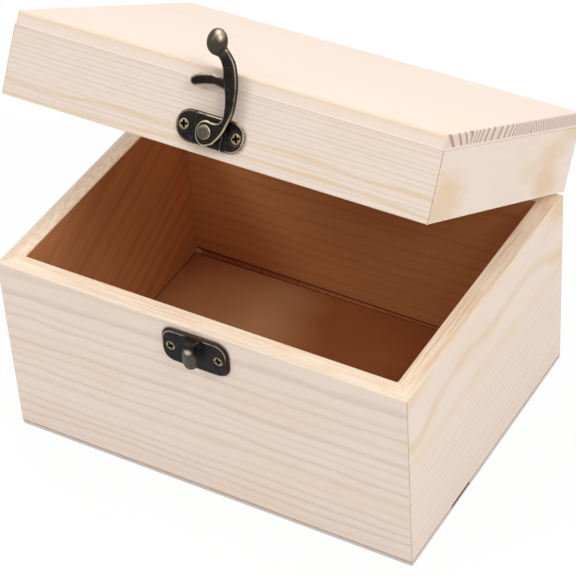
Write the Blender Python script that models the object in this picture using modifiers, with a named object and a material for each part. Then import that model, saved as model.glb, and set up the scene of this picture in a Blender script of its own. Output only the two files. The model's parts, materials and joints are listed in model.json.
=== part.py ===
"""Pine craft box with a hinged lid, a swing-hook latch and two butt hinges.

Lengths are metres. +Z is up, -Y is the front and +X is the right end. The origin is the
centre of the underside. The box stands at rest with its lid held part open and the hook upright.
"""
import math

import bmesh
import bpy
from mathutils import Matrix

# Box
BOX_WIDTH = 0.200
BOX_DEPTH = 0.148
BASE_HEIGHT = 0.096
LID_HEIGHT = 0.036
WALL_THICKNESS = 0.009
BOTTOM_THICKNESS = 0.002
LID_PANEL_THICKNESS = 0.006
LID_OPEN_ANGLE = math.radians(30.5)
BOARD_EASE = 0.0004
PANEL_CORNER_RADIUS = 0.0018
PANEL_EDGE_EASE = 0.0007

# Fits
FIT_GAP = 0.0003
CUT_OVERRUN = 0.002

# Slot left open where the right wall meets the bottom panel
SLOT_LENGTH = 0.016
SLOT_HEIGHT = 0.0007
SLOT_DEPTH = 0.0025
SLOT_OFFSET = -0.028

# Catch on the front wall, measured down from the wall's rim
CATCH_WIDTH = 0.0333
CATCH_HEIGHT = 0.019
CATCH_THICKNESS = 0.0016
CATCH_CHAMFER = 0.0014
CATCH_END_RADIUS = 0.0062
CATCH_DROP = 0.012
CATCH_SCREW_SPACING = 0.0233
TONGUE_WIDTH = 0.0066
TONGUE_THICKNESS = 0.0020
TONGUE_ROOT_HEIGHT = 0.0036
TONGUE_DROP = 0.0136
TONGUE_INSET = 0.0010
TONGUE_INNER_RADIUS = 0.0010
TONGUE_OUTER_RADIUS = 0.0042

# Latch plate on the lid's front rail, measured up from the rail's lower edge
LATCH_RISE = 0.0107
LATCH_WIDTH = 0.0325
LATCH_HEIGHT = 0.0138
LATCH_THICKNESS = 0.0013
LATCH_CHAMFER = 0.0007
LATCH_SCREW_SPACING = 0.0243
LATCH_STEP_WIDTH = 0.0138
LATCH_STEP_HEIGHT = 0.0016

# Hook, measured from the rivet that it turns on. It leans to the left of straight up
HOOK_REACH = 0.0365
HOOK_THICKNESS = 0.0026
HOOK_LEAN = math.radians(4)
HOOK_EDGE_EASE = 0.0006
EYE_HALF_WIDTH = 0.0045
EYE_HALF_HEIGHT = 0.0054
EYE_DROP = 0.0005
EYE_START_ANGLE = math.radians(68)
EYE_END_ANGLE = math.radians(300)
PRONG_WIDTH = 0.0035
PRONG_THICKNESS = 0.0015
PRONG_CLEARANCE = 0.0005
PRONG_TIP_ANGLE = math.radians(23)
KNOB_HALF_WIDTH = 0.0044
KNOB_HALF_HEIGHT = 0.0056
KNOB_HALF_DEPTH = 0.0040
KNOB_LIFT = 0.0022
RIVET_SHANK_RADIUS = 0.0016
RIVET_HEAD_RADIUS = 0.0031
RIVET_HEAD_HEIGHT = 0.0009
RIVET_FACE_SHARE = 0.75

# The hook's two long edges, from the eye up to the knob, as shares of its reach
OUTER_EDGE_SHARES = (
    (0.107, -0.123), (0.167, -0.052), (0.225, 0.038), (0.266, 0.151), (0.290, 0.255),
    (0.300, 0.356), (0.301, 0.441), (0.296, 0.548), (0.277, 0.655), (0.252, 0.745),
    (0.216, 0.822), (0.167, 0.882), (0.118, 0.940),
)
INNER_EDGE_SHARES = (
    (0.088, 0.120), (0.145, 0.126), (0.186, 0.170), (0.205, 0.247), (0.205, 0.329),
    (0.192, 0.425), (0.165, 0.530), (0.137, 0.638), (0.126, 0.701), (0.101, 0.764),
    (0.058, 0.819), (0.000, 0.870),
)
NECK_SHARE = 0.075
NECK_START_ANGLE = math.radians(10)

# Cross-head wood screws. The dome's shoulder is given as shares of its radius and its rise
SCREW_HEAD_RADIUS = 0.0026
SCREW_HEAD_CONE = 0.0010
SCREW_DOME = 0.0004
SCREW_DOME_SHARES = (0.6, 0.75)
SCREW_SHANK_RADIUS = 0.0011
SCREW_LENGTH = 0.0075
SCREW_POINT = 0.0015
CROSS_LENGTH = 0.0027
CROSS_WIDTH = 0.0007
CROSS_DEPTH = 0.0008

# Butt hinges on the back, set in from each end of the box to the hinge's middle. Their own
# smaller screws are a share of the latch's
HINGE_INSET = 0.040
HINGE_WIDTH = 0.030
HINGE_LEAF_HEIGHT = 0.0115
HINGE_LEAF_THICKNESS = 0.0010
HINGE_KNUCKLES = 5
BARREL_RADIUS = 0.0018
PIN_RADIUS = 0.0008
PIN_HEAD_RADIUS = 0.0013
PIN_HEAD_HEIGHT = 0.0004
HINGE_SCREW_SPACING = 0.018
HINGE_SCREW_SHARE = 0.75

# Facets, and how near two places are to count as one
ROUND_SIDES = 24
SMALL_SIDES = 16
CURVE_STEPS = 3
ARC_STEPS = 8
BEND_STEPS = 6
TIGHT_BEND_STEPS = 3
FULL_TURN = 2 * math.pi
RIGHT_ANGLE = math.pi / 2
FLAT_ANGLE = math.radians(0.1)
SMOOTH_ANGLE = math.radians(35)
LEVEL_NORMAL = 0.5
SAME_PLACE = FIT_GAP / 10
WELD_DISTANCE = FIT_GAP / 100

# Places worked out from the sizes above
PARTING_HEIGHT = BASE_HEIGHT + FIT_GAP
AXIS_BEHIND = FIT_GAP + BARREL_RADIUS
AXIS_PLACE = (0, BOX_DEPTH / 2 + AXIS_BEHIND, BASE_HEIGHT + FIT_GAP / 2)
WALL_FOOT = BOTTOM_THICKNESS + FIT_GAP
RAIL_HEIGHT = LID_HEIGHT - LID_PANEL_THICKNESS - FIT_GAP
CATCH_PLACE = (0, BASE_HEIGHT - CATCH_DROP)
LATCH_PLACE = (0, LATCH_RISE)
CATCH_FACE = FIT_GAP + CATCH_THICKNESS
LATCH_FACE = FIT_GAP + LATCH_THICKNESS
STEP_FACE = LATCH_FACE + LATCH_STEP_HEIGHT
HOOK_BACK = STEP_FACE + FIT_GAP
HOOK_FACE = HOOK_BACK + HOOK_THICKNESS
PRONG_FACE = HOOK_BACK + PRONG_THICKNESS
TONGUE_BACK = PRONG_FACE + PRONG_CLEARANCE
TONGUE_FACE = TONGUE_BACK + TONGUE_THICKNESS
TONGUE_TOP = CATCH_HEIGHT / 2 - TONGUE_INSET
TONGUE_ROOT_FOOT = TONGUE_TOP - TONGUE_ROOT_HEIGHT

# With the lid shut, the prong swings just under the root of the catch's tongue
RIVET_TO_ROOT_FOOT = LATCH_RISE + PARTING_HEIGHT - CATCH_PLACE[1] - TONGUE_ROOT_FOOT
PRONG_RADIUS = RIVET_TO_ROOT_FOOT + TONGUE_INNER_RADIUS + FIT_GAP + PRONG_WIDTH / 2


def clear_scene():
    """Remove every object, so that the script starts from nothing."""
    for obj in list(bpy.data.objects):
        bpy.data.objects.remove(obj, do_unlink=True)


def new_collection(name):
    collection = bpy.data.collections.new(name)
    bpy.context.scene.collection.children.link(collection)
    return collection


def new_material(name, colour, roughness, metallic=0.0):
    """A Principled material with one colour."""
    material = bpy.data.materials.new(name)
    material.use_nodes = True
    shader = material.node_tree.nodes["Principled BSDF"]
    shader.inputs["Base Color"].default_value = (*colour, 1.0)
    shader.inputs["Roughness"].default_value = roughness
    shader.inputs["Metallic"].default_value = metallic
    return material


def new_frame(name, place, rotation=(0, 0, 0), parent=None):
    """An empty that carries pieces. X and Y lie in a face of the box and Z points out of it."""
    frame = bpy.data.objects.new(name, None)
    PARTS.objects.link(frame)
    frame.location = place
    frame.rotation_euler = rotation
    frame.parent = parent
    return frame


def place_object(obj, collection, frame, place=(0, 0, 0), rotation=(0, 0, 0)):
    collection.objects.link(obj)
    obj.parent = frame
    obj.location = place
    obj.rotation_euler = rotation
    return obj


def add_part(name, mesh, material, frame, place=(0, 0, 0), rotation=(0, 0, 0)):
    """A named piece of the box."""
    mesh.materials.clear()
    mesh.materials.append(material)
    return place_object(bpy.data.objects.new(name, mesh), PARTS, frame, place, rotation)


def add_cutter(name, mesh, frame, place=(0, 0, 0), rotation=(0, 0, 0)):
    """A shape that only cuts or joins pieces."""
    cutter = place_object(bpy.data.objects.new(name, mesh), CUTTERS, frame, place, rotation)
    cutter.hide_render = True
    cutter.display_type = "WIRE"
    return cutter


def combine(obj, other, operation):
    """Cut, join or intersect obj with other."""
    modifier = obj.modifiers.new(operation.title(), "BOOLEAN")
    modifier.operation = operation
    modifier.object = other
    modifier.solver = "EXACT"


def mesh_from(bm, name):
    bmesh.ops.recalc_face_normals(bm, faces=bm.faces)
    mesh = bpy.data.meshes.new(name)
    bm.to_mesh(mesh)
    bm.free()
    return mesh


def evaluated_mesh(obj):
    """The object's mesh with its modifiers, or its curve as a mesh with welded whole caps."""
    bpy.context.view_layer.update()
    depsgraph = bpy.context.evaluated_depsgraph_get()
    mesh = bpy.data.meshes.new_from_object(obj.evaluated_get(depsgraph))
    bm = bmesh.new()
    bm.from_mesh(mesh)
    bpy.data.meshes.remove(mesh)
    bmesh.ops.remove_doubles(bm, verts=bm.verts, dist=WELD_DISTANCE)
    bmesh.ops.dissolve_limit(bm, angle_limit=FLAT_ANGLE, verts=bm.verts, edges=bm.edges)
    return mesh_from(bm, obj.name)


def block_mesh(name, size, centre=(0, 0, 0), ease=0.0, along=None):
    """A block. Its edges are eased, or only those that run along one axis."""
    bm = bmesh.new()
    bmesh.ops.create_cube(bm, size=1.0)
    bmesh.ops.scale(bm, vec=size, verts=bm.verts)
    edges = list(bm.edges)
    if along is not None:
        edges = [edge for edge in edges if abs((edge.verts[0].co - edge.verts[1].co)[along]) > ease]
    if ease:
        bmesh.ops.bevel(bm, geom=edges, offset=ease, segments=1, affect="EDGES")
    bmesh.ops.translate(bm, vec=centre, verts=bm.verts)
    return mesh_from(bm, name)


def rod_mesh(name, radius, height, base=0.0, sides=ROUND_SIDES):
    """A rod along Z that stands on z = base."""
    bm = bmesh.new()
    bmesh.ops.create_cone(
        bm, cap_ends=True, segments=sides, radius1=radius, radius2=radius, depth=height,
        matrix=Matrix.Translation((0, 0, base + height / 2)),
    )
    return mesh_from(bm, name)


def turned_mesh(name, profile, sides):
    """Turn a profile of (radius, z) points, written from top to bottom, about Z."""
    bm = bmesh.new()
    verts = [bm.verts.new((radius, 0, z)) for radius, z in profile]
    for upper, lower in zip(verts, verts[1:]):
        bm.edges.new((upper, lower))
    mesh = bpy.data.meshes.new(name)
    bm.to_mesh(mesh)
    bm.free()
    obj = bpy.data.objects.new(name, mesh)
    CUTTERS.objects.link(obj)
    screw = obj.modifiers.new("Turn", "SCREW")
    screw.steps = sides
    screw.render_steps = sides
    screw.use_merge_vertices = True
    screw.merge_threshold = SAME_PLACE
    turned = evaluated_mesh(obj)
    bpy.data.objects.remove(obj)
    return turned


def plate_mesh(name, outline, bottom, top, ease=0.0):
    """A flat outline in X and Y made solid from z = bottom to z = top, with eased edges."""
    curve = bpy.data.curves.new(name, "CURVE")
    curve.dimensions = "2D"
    curve.fill_mode = "BOTH"
    curve.extrude = (top - bottom) / 2 - ease
    curve.bevel_depth = ease
    curve.bevel_resolution = 1
    curve.offset = -ease
    spline = curve.splines.new("POLY")
    spline.points.add(len(outline) - 1)
    for point, (x, y) in zip(spline.points, outline):
        point.co = (x, y, 0, 1)
    spline.use_cyclic_u = True
    obj = bpy.data.objects.new(name, curve)
    CUTTERS.objects.link(obj)
    mesh = evaluated_mesh(obj)
    bpy.data.objects.remove(obj)
    mesh.transform(Matrix.Translation((0, 0, (bottom + top) / 2)))
    return mesh


def chamfered_plate_mesh(name, outline, bottom, top, chamfer):
    """A plate whose upper rim alone is chamfered."""
    bm = bmesh.new()
    bm.from_mesh(plate_mesh(name, outline, bottom, top))
    rim = [
        edge for edge in bm.edges
        if all(abs(vert.co.z - top) < SAME_PLACE for vert in edge.verts)
        and any(abs(face.normal.z) < LEVEL_NORMAL for face in edge.link_faces)
    ]
    bmesh.ops.bevel(bm, geom=rim, offset=chamfer, segments=1, affect="EDGES")
    return mesh_from(bm, name)


def arc(centre, radii, start, end, steps=ARC_STEPS):
    """Points on an arc about centre, which is an ellipse's where the two radii differ."""
    points = []
    for step in range(steps + 1):
        turn = start + (end - start) * step / steps
        points.append((centre[0] + radii[0] * math.cos(turn), centre[1] + radii[1] * math.sin(turn)))
    return points


def drop_repeats(points):
    """Leave out points that lie on the one before them."""
    kept = []
    for point in points:
        if not kept or math.dist(kept[-1], point) > SAME_PLACE:
            kept.append(point)
    if math.dist(kept[0], kept[-1]) < SAME_PLACE:
        kept.pop()
    return kept


def rounded_rectangle(width, height, radius):
    """The outline of a plate with round corners, centred on the origin."""
    points = []
    for quarter, (side, level) in enumerate(((1, 1), (-1, 1), (-1, -1), (1, -1))):
        centre = (side * (width / 2 - radius), level * (height / 2 - radius))
        start = quarter * RIGHT_ANGLE
        points += arc(centre, (radius, radius), start, start + RIGHT_ANGLE)
    return drop_repeats(points)


def curve_value(before, start, end, after, t):
    """A Catmull-Rom curve's value a share t of the way from start to end."""
    slope = end - before
    bend = 2 * before - 5 * start + 4 * end - after
    twist = 3 * start - before - 3 * end + after
    return start + (slope * t + bend * t ** 2 + twist * t ** 3) / 2


def smooth_path(points, steps=CURVE_STEPS):
    """A smooth path through the points."""
    padded = [points[0], *points, points[-1]]
    path = []
    for corners in zip(padded, padded[1:], padded[2:], padded[3:]):
        for step in range(steps):
            path.append(tuple(curve_value(*values, step / steps) for values in zip(*corners)))
    return path + [tuple(points[-1])]


def smooth(obj):
    """Shade a round piece smooth and keep its corners sharp."""
    obj.data.shade_smooth()
    obj.data.set_sharp_from_angle(angle=SMOOTH_ANGLE)


def mitred_board(name, length, height):
    """A wall whose outer face lies on y = 0, with both ends mitred at 45 degrees."""
    size = (length, WALL_THICKNESS, height)
    mesh = block_mesh(name, size, (0, WALL_THICKNESS / 2, height / 2), BOARD_EASE, along=0)
    setback = FIT_GAP / math.sqrt(2)
    for vert in mesh.vertices:
        vert.co.x = math.copysign(length / 2 - vert.co.y - setback, vert.co.x)
    return mesh


def four_walls(names, height, frame, centre, foot):
    """Four mitred walls round the box, in the order front, back, left, right."""
    half_width = BOX_WIDTH / 2
    half_depth = BOX_DEPTH / 2
    layout = (
        (BOX_WIDTH, (0, -half_depth), 0),
        (BOX_WIDTH, (0, half_depth), 2),
        (BOX_DEPTH, (-half_width, 0), 3),
        (BOX_DEPTH, (half_width, 0), 1),
    )
    walls = {}
    for name, (length, (x, y), quarters) in zip(names, layout):
        place = (centre[0] + x, centre[1] + y, centre[2] + foot)
        turn = (0, 0, quarters * RIGHT_ANGLE)
        walls[name] = add_part(name, mitred_board(name, length, height), PINE, frame, place, turn)
    return walls


def screw_mesh(name, scale_share):
    """One countersunk cross-head screw. Its head's rim lies on z = 0 and its point below."""
    head = SCREW_HEAD_RADIUS * scale_share
    shank = SCREW_SHANK_RADIUS * scale_share
    cone = SCREW_HEAD_CONE * scale_share
    length = SCREW_LENGTH * scale_share
    dome = SCREW_DOME * scale_share
    point = SCREW_POINT * scale_share
    shoulder = (head * SCREW_DOME_SHARES[0], dome * SCREW_DOME_SHARES[1])
    profile = [(0, dome), shoulder, (head, 0), (shank, -cone), (shank, point - length), (0, -length)]
    screw = bpy.data.objects.new(name, turned_mesh(name, profile, SMALL_SIDES))
    CUTTERS.objects.link(screw)
    depth = (CROSS_DEPTH + CUT_OVERRUN) * scale_share
    middle = (0, 0, (CUT_OVERRUN - CROSS_DEPTH) * scale_share / 2)
    long_side = CROSS_LENGTH * scale_share
    short_side = CROSS_WIDTH * scale_share
    bars = [
        add_cutter(name + "_bar", block_mesh(name, size, middle), None)
        for size in ((long_side, short_side, depth), (short_side, long_side, depth))
    ]
    for bar in bars:
        combine(screw, bar, "DIFFERENCE")
    mesh = evaluated_mesh(screw)
    for obj in (screw, *bars):
        bpy.data.objects.remove(obj)
    return mesh


def add_screws(name, places, face, material, frame, centre, scale_share=1.0):
    """A left and a right screw whose heads are flush with z = face."""
    mesh = screw_mesh(name, scale_share)
    for side, (x, y) in zip(("left", "right"), places):
        place = (centre[0] + x, centre[1] + y, centre[2] + face)
        smooth(add_part(f"{name}_{side}", mesh, material, frame, place))


def screw_hole_cutters(name, places, face, frame, centre, scale_share=1.0):
    """A countersink and a pilot hole for each screw, wider than it by the fit gap."""
    shank = SCREW_SHANK_RADIUS * scale_share + FIT_GAP
    head = SCREW_HEAD_RADIUS * scale_share + FIT_GAP
    cone = SCREW_HEAD_CONE * scale_share
    end = face - SCREW_LENGTH * scale_share - FIT_GAP
    mouth = head + (head - shank) / cone * FIT_GAP
    profile = [
        (0, face + CUT_OVERRUN), (mouth, face + CUT_OVERRUN), (mouth, face + FIT_GAP),
        (shank, face - cone), (shank, end), (0, end),
    ]
    mesh = turned_mesh(name, profile, SMALL_SIDES)
    return [
        add_cutter(name, mesh, frame, (centre[0] + x, centre[1] + y, centre[2])) for x, y in places
    ]


def pair(spacing):
    """Two places at equal distances either side of the middle."""
    return [(-spacing / 2, 0), (spacing / 2, 0)]


def make_base(frame):
    """The four walls and the thin panel under them."""
    names = ("front_wall", "back_wall", "left_wall", "right_wall")
    walls = four_walls(names, BASE_HEIGHT - WALL_FOOT, frame, (0, 0, 0), WALL_FOOT)
    size = (BOX_WIDTH, BOX_DEPTH, BOTTOM_THICKNESS)
    panel = block_mesh("bottom_panel", size, (0, 0, BOTTOM_THICKNESS / 2), BOARD_EASE)
    add_part("bottom_panel", panel, PLYWOOD, frame)
    size = (SLOT_DEPTH + CUT_OVERRUN, SLOT_LENGTH, SLOT_HEIGHT + CUT_OVERRUN)
    slot_x = BOX_WIDTH / 2 + (CUT_OVERRUN - SLOT_DEPTH) / 2
    slot_z = WALL_FOOT + (SLOT_HEIGHT - CUT_OVERRUN) / 2
    slot = add_cutter("joint_slot", block_mesh("joint_slot", size), frame, (slot_x, SLOT_OFFSET, slot_z))
    combine(walls["right_wall"], slot, "DIFFERENCE")
    return walls


def make_lid(frame, centre):
    """The lid's four rails and the board on top of them, placed as if it were shut."""
    names = ("lid_front_rail", "lid_back_rail", "lid_left_rail", "lid_right_rail")
    rails = four_walls(names, RAIL_HEIGHT, frame, centre, 0)
    outline = rounded_rectangle(BOX_WIDTH, BOX_DEPTH, PANEL_CORNER_RADIUS)
    panel = plate_mesh("lid_top_panel", outline, RAIL_HEIGHT + FIT_GAP, LID_HEIGHT, PANEL_EDGE_EASE)
    add_part("lid_top_panel", panel, PINE, frame, centre)
    return rails


def tongue_profile():
    """The catch's tongue seen from its side: out of the plate, then down in front of it."""
    root = FIT_GAP + CATCH_THICKNESS / 2
    tip_radius = TONGUE_THICKNESS / 2
    inner_centre = (TONGUE_BACK - TONGUE_INNER_RADIUS, TONGUE_ROOT_FOOT - TONGUE_INNER_RADIUS)
    outer_centre = (TONGUE_FACE - TONGUE_OUTER_RADIUS, TONGUE_TOP - TONGUE_OUTER_RADIUS)
    tip_centre = (TONGUE_BACK + tip_radius, TONGUE_TOP - TONGUE_DROP + tip_radius)
    inner_radii = (TONGUE_INNER_RADIUS, TONGUE_INNER_RADIUS)
    outer_radii = (TONGUE_OUTER_RADIUS, TONGUE_OUTER_RADIUS)
    points = [(root, TONGUE_ROOT_FOOT)]
    points += arc(inner_centre, inner_radii, RIGHT_ANGLE, 0, TIGHT_BEND_STEPS)
    points += arc(tip_centre, (tip_radius, tip_radius), math.pi, FULL_TURN, BEND_STEPS)
    points += arc(outer_centre, outer_radii, 0, RIGHT_ANGLE, BEND_STEPS)
    return points + [(root, TONGUE_TOP)]


def tongue_front():
    """The catch's tongue seen from the front, with a round lower end."""
    half = TONGUE_WIDTH / 2
    centre = (0, TONGUE_TOP - TONGUE_DROP + half)
    points = [(half, TONGUE_TOP + CUT_OVERRUN), (-half, TONGUE_TOP + CUT_OVERRUN)]
    return points + arc(centre, (half, half), math.pi, FULL_TURN)


def make_catch(frame, wall):
    """The catch plate with its tongue, and its two screws."""
    centre = (*CATCH_PLACE, 0)
    outline = rounded_rectangle(CATCH_WIDTH, CATCH_HEIGHT, CATCH_END_RADIUS)
    mesh = chamfered_plate_mesh("catch_plate", outline, FIT_GAP, CATCH_FACE, CATCH_CHAMFER)
    plate = add_part("catch_plate", mesh, BRONZE, frame, centre)
    side = plate_mesh("tongue_side", tongue_profile(), -TONGUE_WIDTH, TONGUE_WIDTH)
    tongue = add_cutter("tongue_side", side, frame, centre, (0, -RIGHT_ANGLE, 0))
    front = plate_mesh("tongue_front", tongue_front(), 0, TONGUE_FACE + CUT_OVERRUN)
    combine(tongue, add_cutter("tongue_front", front, frame, centre), "INTERSECT")
    combine(plate, tongue, "UNION")
    places = pair(CATCH_SCREW_SPACING)
    for cutter in screw_hole_cutters("catch_screw_hole", places, CATCH_FACE, frame, centre):
        combine(plate, cutter, "DIFFERENCE")
        combine(wall, cutter, "DIFFERENCE")
    smooth(plate)
    add_screws("catch_screw", places, CATCH_FACE, SCREW_METAL, frame, centre)


def make_latch_plate(frame, rail):
    """The plate that carries the hook: two low lobes and a raised middle, with its screws."""
    centre = (*LATCH_PLACE, 0)
    outline = rounded_rectangle(LATCH_WIDTH, LATCH_HEIGHT, LATCH_HEIGHT / 2)
    mesh = chamfered_plate_mesh("latch_plate", outline, FIT_GAP, LATCH_FACE, LATCH_CHAMFER)
    plate = add_part("latch_plate", mesh, BRONZE, frame, centre)
    step_height = STEP_FACE - LATCH_FACE / 2
    size = (LATCH_STEP_WIDTH, LATCH_HEIGHT - FIT_GAP, step_height)
    step = block_mesh("latch_step", size, (0, 0, STEP_FACE - step_height / 2), LATCH_CHAMFER / 2)
    combine(plate, add_cutter("latch_step", step, frame, centre), "UNION")
    bore = rod_mesh("rivet_bore", RIVET_SHANK_RADIUS + FIT_GAP, STEP_FACE + 2 * CUT_OVERRUN, -CUT_OVERRUN)
    combine(plate, add_cutter("rivet_bore", bore, frame, centre), "DIFFERENCE")
    places = pair(LATCH_SCREW_SPACING)
    for cutter in screw_hole_cutters("latch_screw_hole", places, LATCH_FACE, frame, centre):
        combine(plate, cutter, "DIFFERENCE")
        combine(rail, cutter, "DIFFERENCE")
    smooth(plate)
    add_screws("latch_screw", places, LATCH_FACE, SCREW_METAL, frame, centre)


def make_rivet(frame):
    """The rivet that holds the hook on the latch plate."""
    seat = HOOK_FACE + FIT_GAP
    top = seat + RIVET_HEAD_HEIGHT
    shoulder = top - RIVET_HEAD_HEIGHT / 2
    profile = [
        (0, top), (RIVET_HEAD_RADIUS * RIVET_FACE_SHARE, top), (RIVET_HEAD_RADIUS, shoulder),
        (RIVET_HEAD_RADIUS, seat), (RIVET_SHANK_RADIUS, seat), (RIVET_SHANK_RADIUS, FIT_GAP),
        (0, FIT_GAP),
    ]
    mesh = turned_mesh("latch_rivet", profile, ROUND_SIDES)
    smooth(add_part("latch_rivet", mesh, BRONZE, frame, (*LATCH_PLACE, 0)))


def hook_edge(shares):
    """One long edge of the hook at its real size."""
    return [(x * HOOK_REACH, y * HOOK_REACH) for x, y in shares]


def hook_outline():
    """The hook's arm and eye as one outline, from the eye's foot up to the knob and back."""
    outer = smooth_path(hook_edge(OUTER_EDGE_SHARES))
    inner = smooth_path(hook_edge(INNER_EDGE_SHARES))
    neck = NECK_SHARE * HOOK_REACH
    head = arc((0, HOOK_REACH), (neck, neck), NECK_START_ANGLE, NECK_START_ANGLE + math.pi)
    eye_radii = (EYE_HALF_WIDTH, EYE_HALF_HEIGHT)
    eye = arc((0, -EYE_DROP), eye_radii, EYE_START_ANGLE, EYE_END_ANGLE, 2 * ARC_STEPS)
    return outer + head + inner[::-1] + eye


def arm_direction(distance):
    """The direction in which the arm's middle lies at this distance from the rivet."""
    edges = zip(hook_edge(OUTER_EDGE_SHARES)[1:], hook_edge(INNER_EDGE_SHARES))
    middle = [((outer[0] + inner[0]) / 2, (outer[1] + inner[1]) / 2) for outer, inner in edges]
    x, y = min(middle, key=lambda point: abs(math.hypot(*point) - distance))
    return math.atan2(y, x)


def prong_outline():
    """The curved prong: a band of an arc about the rivet, from inside the arm to a round tip."""
    start = arm_direction(PRONG_RADIUS)
    end = RIGHT_ANGLE + PRONG_TIP_ANGLE
    half = PRONG_WIDTH / 2
    outer = PRONG_RADIUS + half
    inner = PRONG_RADIUS - half
    tip = (PRONG_RADIUS * math.cos(end), PRONG_RADIUS * math.sin(end))
    points = arc((0, 0), (outer, outer), start, end)
    points += arc(tip, (half, half), end, end + math.pi)[1:-1]
    return points + arc((0, 0), (inner, inner), end, start)


def make_hook(frame):
    """The swinging hook. The frame's origin is on the rivet's axis."""
    below = HOOK_BACK - HOOK_EDGE_EASE - FIT_GAP
    arm = plate_mesh("latch_hook", hook_outline(), below, HOOK_FACE, HOOK_EDGE_EASE)
    hook = add_part("latch_hook", arm, BRONZE, frame)
    prong = plate_mesh("hook_prong", prong_outline(), below - FIT_GAP, PRONG_FACE, HOOK_EDGE_EASE)
    combine(hook, add_cutter("hook_prong", prong, frame), "UNION")
    bm = bmesh.new()
    bmesh.ops.create_uvsphere(bm, u_segments=ROUND_SIDES, v_segments=SMALL_SIDES, radius=1.0)
    bmesh.ops.scale(bm, vec=(KNOB_HALF_WIDTH, KNOB_HALF_HEIGHT, KNOB_HALF_DEPTH), verts=bm.verts)
    knob_place = (0, HOOK_REACH, HOOK_BACK + KNOB_LIFT)
    combine(hook, add_cutter("hook_knob", mesh_from(bm, "hook_knob"), frame, knob_place), "UNION")
    reach = 2 * HOOK_REACH + KNOB_HALF_HEIGHT
    size = (reach, 2 * reach, HOOK_BACK + KNOB_HALF_DEPTH)
    back = block_mesh("hook_back", size, (0, 0, (HOOK_BACK - KNOB_HALF_DEPTH) / 2))
    combine(hook, add_cutter("hook_back", back, frame), "DIFFERENCE")
    bore = rod_mesh("hook_bore", RIVET_SHANK_RADIUS + FIT_GAP, HOOK_FACE + 2 * CUT_OVERRUN, -CUT_OVERRUN)
    combine(hook, add_cutter("hook_bore", bore, frame), "DIFFERENCE")
    smooth(hook)


def knuckle_spans(lid_side):
    """Where the knuckles of one leaf run along the hinge. They take turns, base first."""
    pitch = HINGE_WIDTH / HINGE_KNUCKLES
    last = HINGE_KNUCKLES - 1
    spans = []
    for number in range(1 if lid_side else 0, HINGE_KNUCKLES, 2):
        start = number * pitch - HINGE_WIDTH / 2
        start_gap = FIT_GAP / 2 if number > 0 else 0
        end_gap = FIT_GAP / 2 if number < last else 0
        spans.append((start + start_gap, start + pitch - end_gap))
    return spans


def add_knuckle(leaf, frame, start, end, web_y, web_size):
    """Join one knuckle and its web to a leaf."""
    centre = (start + end) / 2
    web = block_mesh("knuckle_web", (end - start, *web_size), (centre, *web_y))
    combine(leaf, add_cutter("knuckle_web", web, frame), "UNION")
    length = end - start - SAME_PLACE
    barrel = rod_mesh("knuckle", BARREL_RADIUS, length, -length / 2, SMALL_SIDES)
    combine(leaf, add_cutter("knuckle", barrel, frame, (centre, 0, 0), (0, RIGHT_ANGLE, 0)), "UNION")


def make_leaf(name, frame, lid_side, wood):
    """One leaf with its two screws. Its origin is on the hinge's axis, its plate against the wood."""
    up = 1 if lid_side else -1
    edge = BARREL_RADIUS + FIT_GAP
    plate_back = FIT_GAP - AXIS_BEHIND
    face = plate_back + HINGE_LEAF_THICKNESS
    middle = plate_back + HINGE_LEAF_THICKNESS / 2
    plate_height = HINGE_LEAF_HEIGHT - edge
    size = (HINGE_WIDTH, plate_height, HINGE_LEAF_THICKNESS)
    mesh = block_mesh(name, size, (0, up * (edge + plate_height / 2), middle))
    leaf = add_part(name, mesh, HINGE_METAL, frame)
    web_height = edge + FIT_GAP
    for start, end in knuckle_spans(lid_side):
        web_size = (web_height, HINGE_LEAF_THICKNESS - SAME_PLACE)
        add_knuckle(leaf, frame, start, end, (up * web_height / 2, middle), web_size)
    bore_length = HINGE_WIDTH + 2 * CUT_OVERRUN
    bore = rod_mesh("hinge_bore", PIN_RADIUS + FIT_GAP, bore_length, -bore_length / 2, SMALL_SIDES)
    combine(leaf, add_cutter("hinge_bore", bore, frame, rotation=(0, RIGHT_ANGLE, 0)), "DIFFERENCE")
    centre = (0, up * (edge + HINGE_LEAF_HEIGHT) / 2, 0)
    places = pair(HINGE_SCREW_SPACING)
    for cutter in screw_hole_cutters("hinge_screw_hole", places, face, frame, centre, HINGE_SCREW_SHARE):
        combine(leaf, cutter, "DIFFERENCE")
        combine(wood, cutter, "DIFFERENCE")
    smooth(leaf)
    screw_name = name.replace("leaf", "screw")
    add_screws(screw_name, places, face, HINGE_METAL, frame, centre, HINGE_SCREW_SHARE)


def make_hinges(base_frame, lid_frame, back_wall, back_rail):
    """Two butt hinges, each with a leaf on the base, a leaf on the lid and a pin."""
    facing_back = (RIGHT_ANGLE, 0, math.pi)
    end = HINGE_WIDTH / 2 + FIT_GAP
    top = end + PIN_HEAD_HEIGHT
    profile = [
        (0, top), (PIN_HEAD_RADIUS, top), (PIN_HEAD_RADIUS, end), (PIN_RADIUS, end),
        (PIN_RADIUS, -end), (0, -end),
    ]
    for side, name in ((-1, "left_hinge"), (1, "right_hinge")):
        x = side * (BOX_WIDTH / 2 - HINGE_INSET)
        on_base = new_frame(name + "_on_base", (x, *AXIS_PLACE[1:]), facing_back, base_frame)
        on_lid = new_frame(name + "_on_lid", (x, 0, 0), facing_back, lid_frame)
        make_leaf(name + "_base_leaf", on_base, False, back_wall)
        make_leaf(name + "_lid_leaf", on_lid, True, back_rail)
        pin = turned_mesh(name + "_pin", profile, SMALL_SIDES)
        smooth(add_part(name + "_pin", pin, HINGE_METAL, on_base, rotation=(0, RIGHT_ANGLE, 0)))


clear_scene()
PARTS = new_collection("wooden_craft_box")
CUTTERS = new_collection("cutters")

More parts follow.
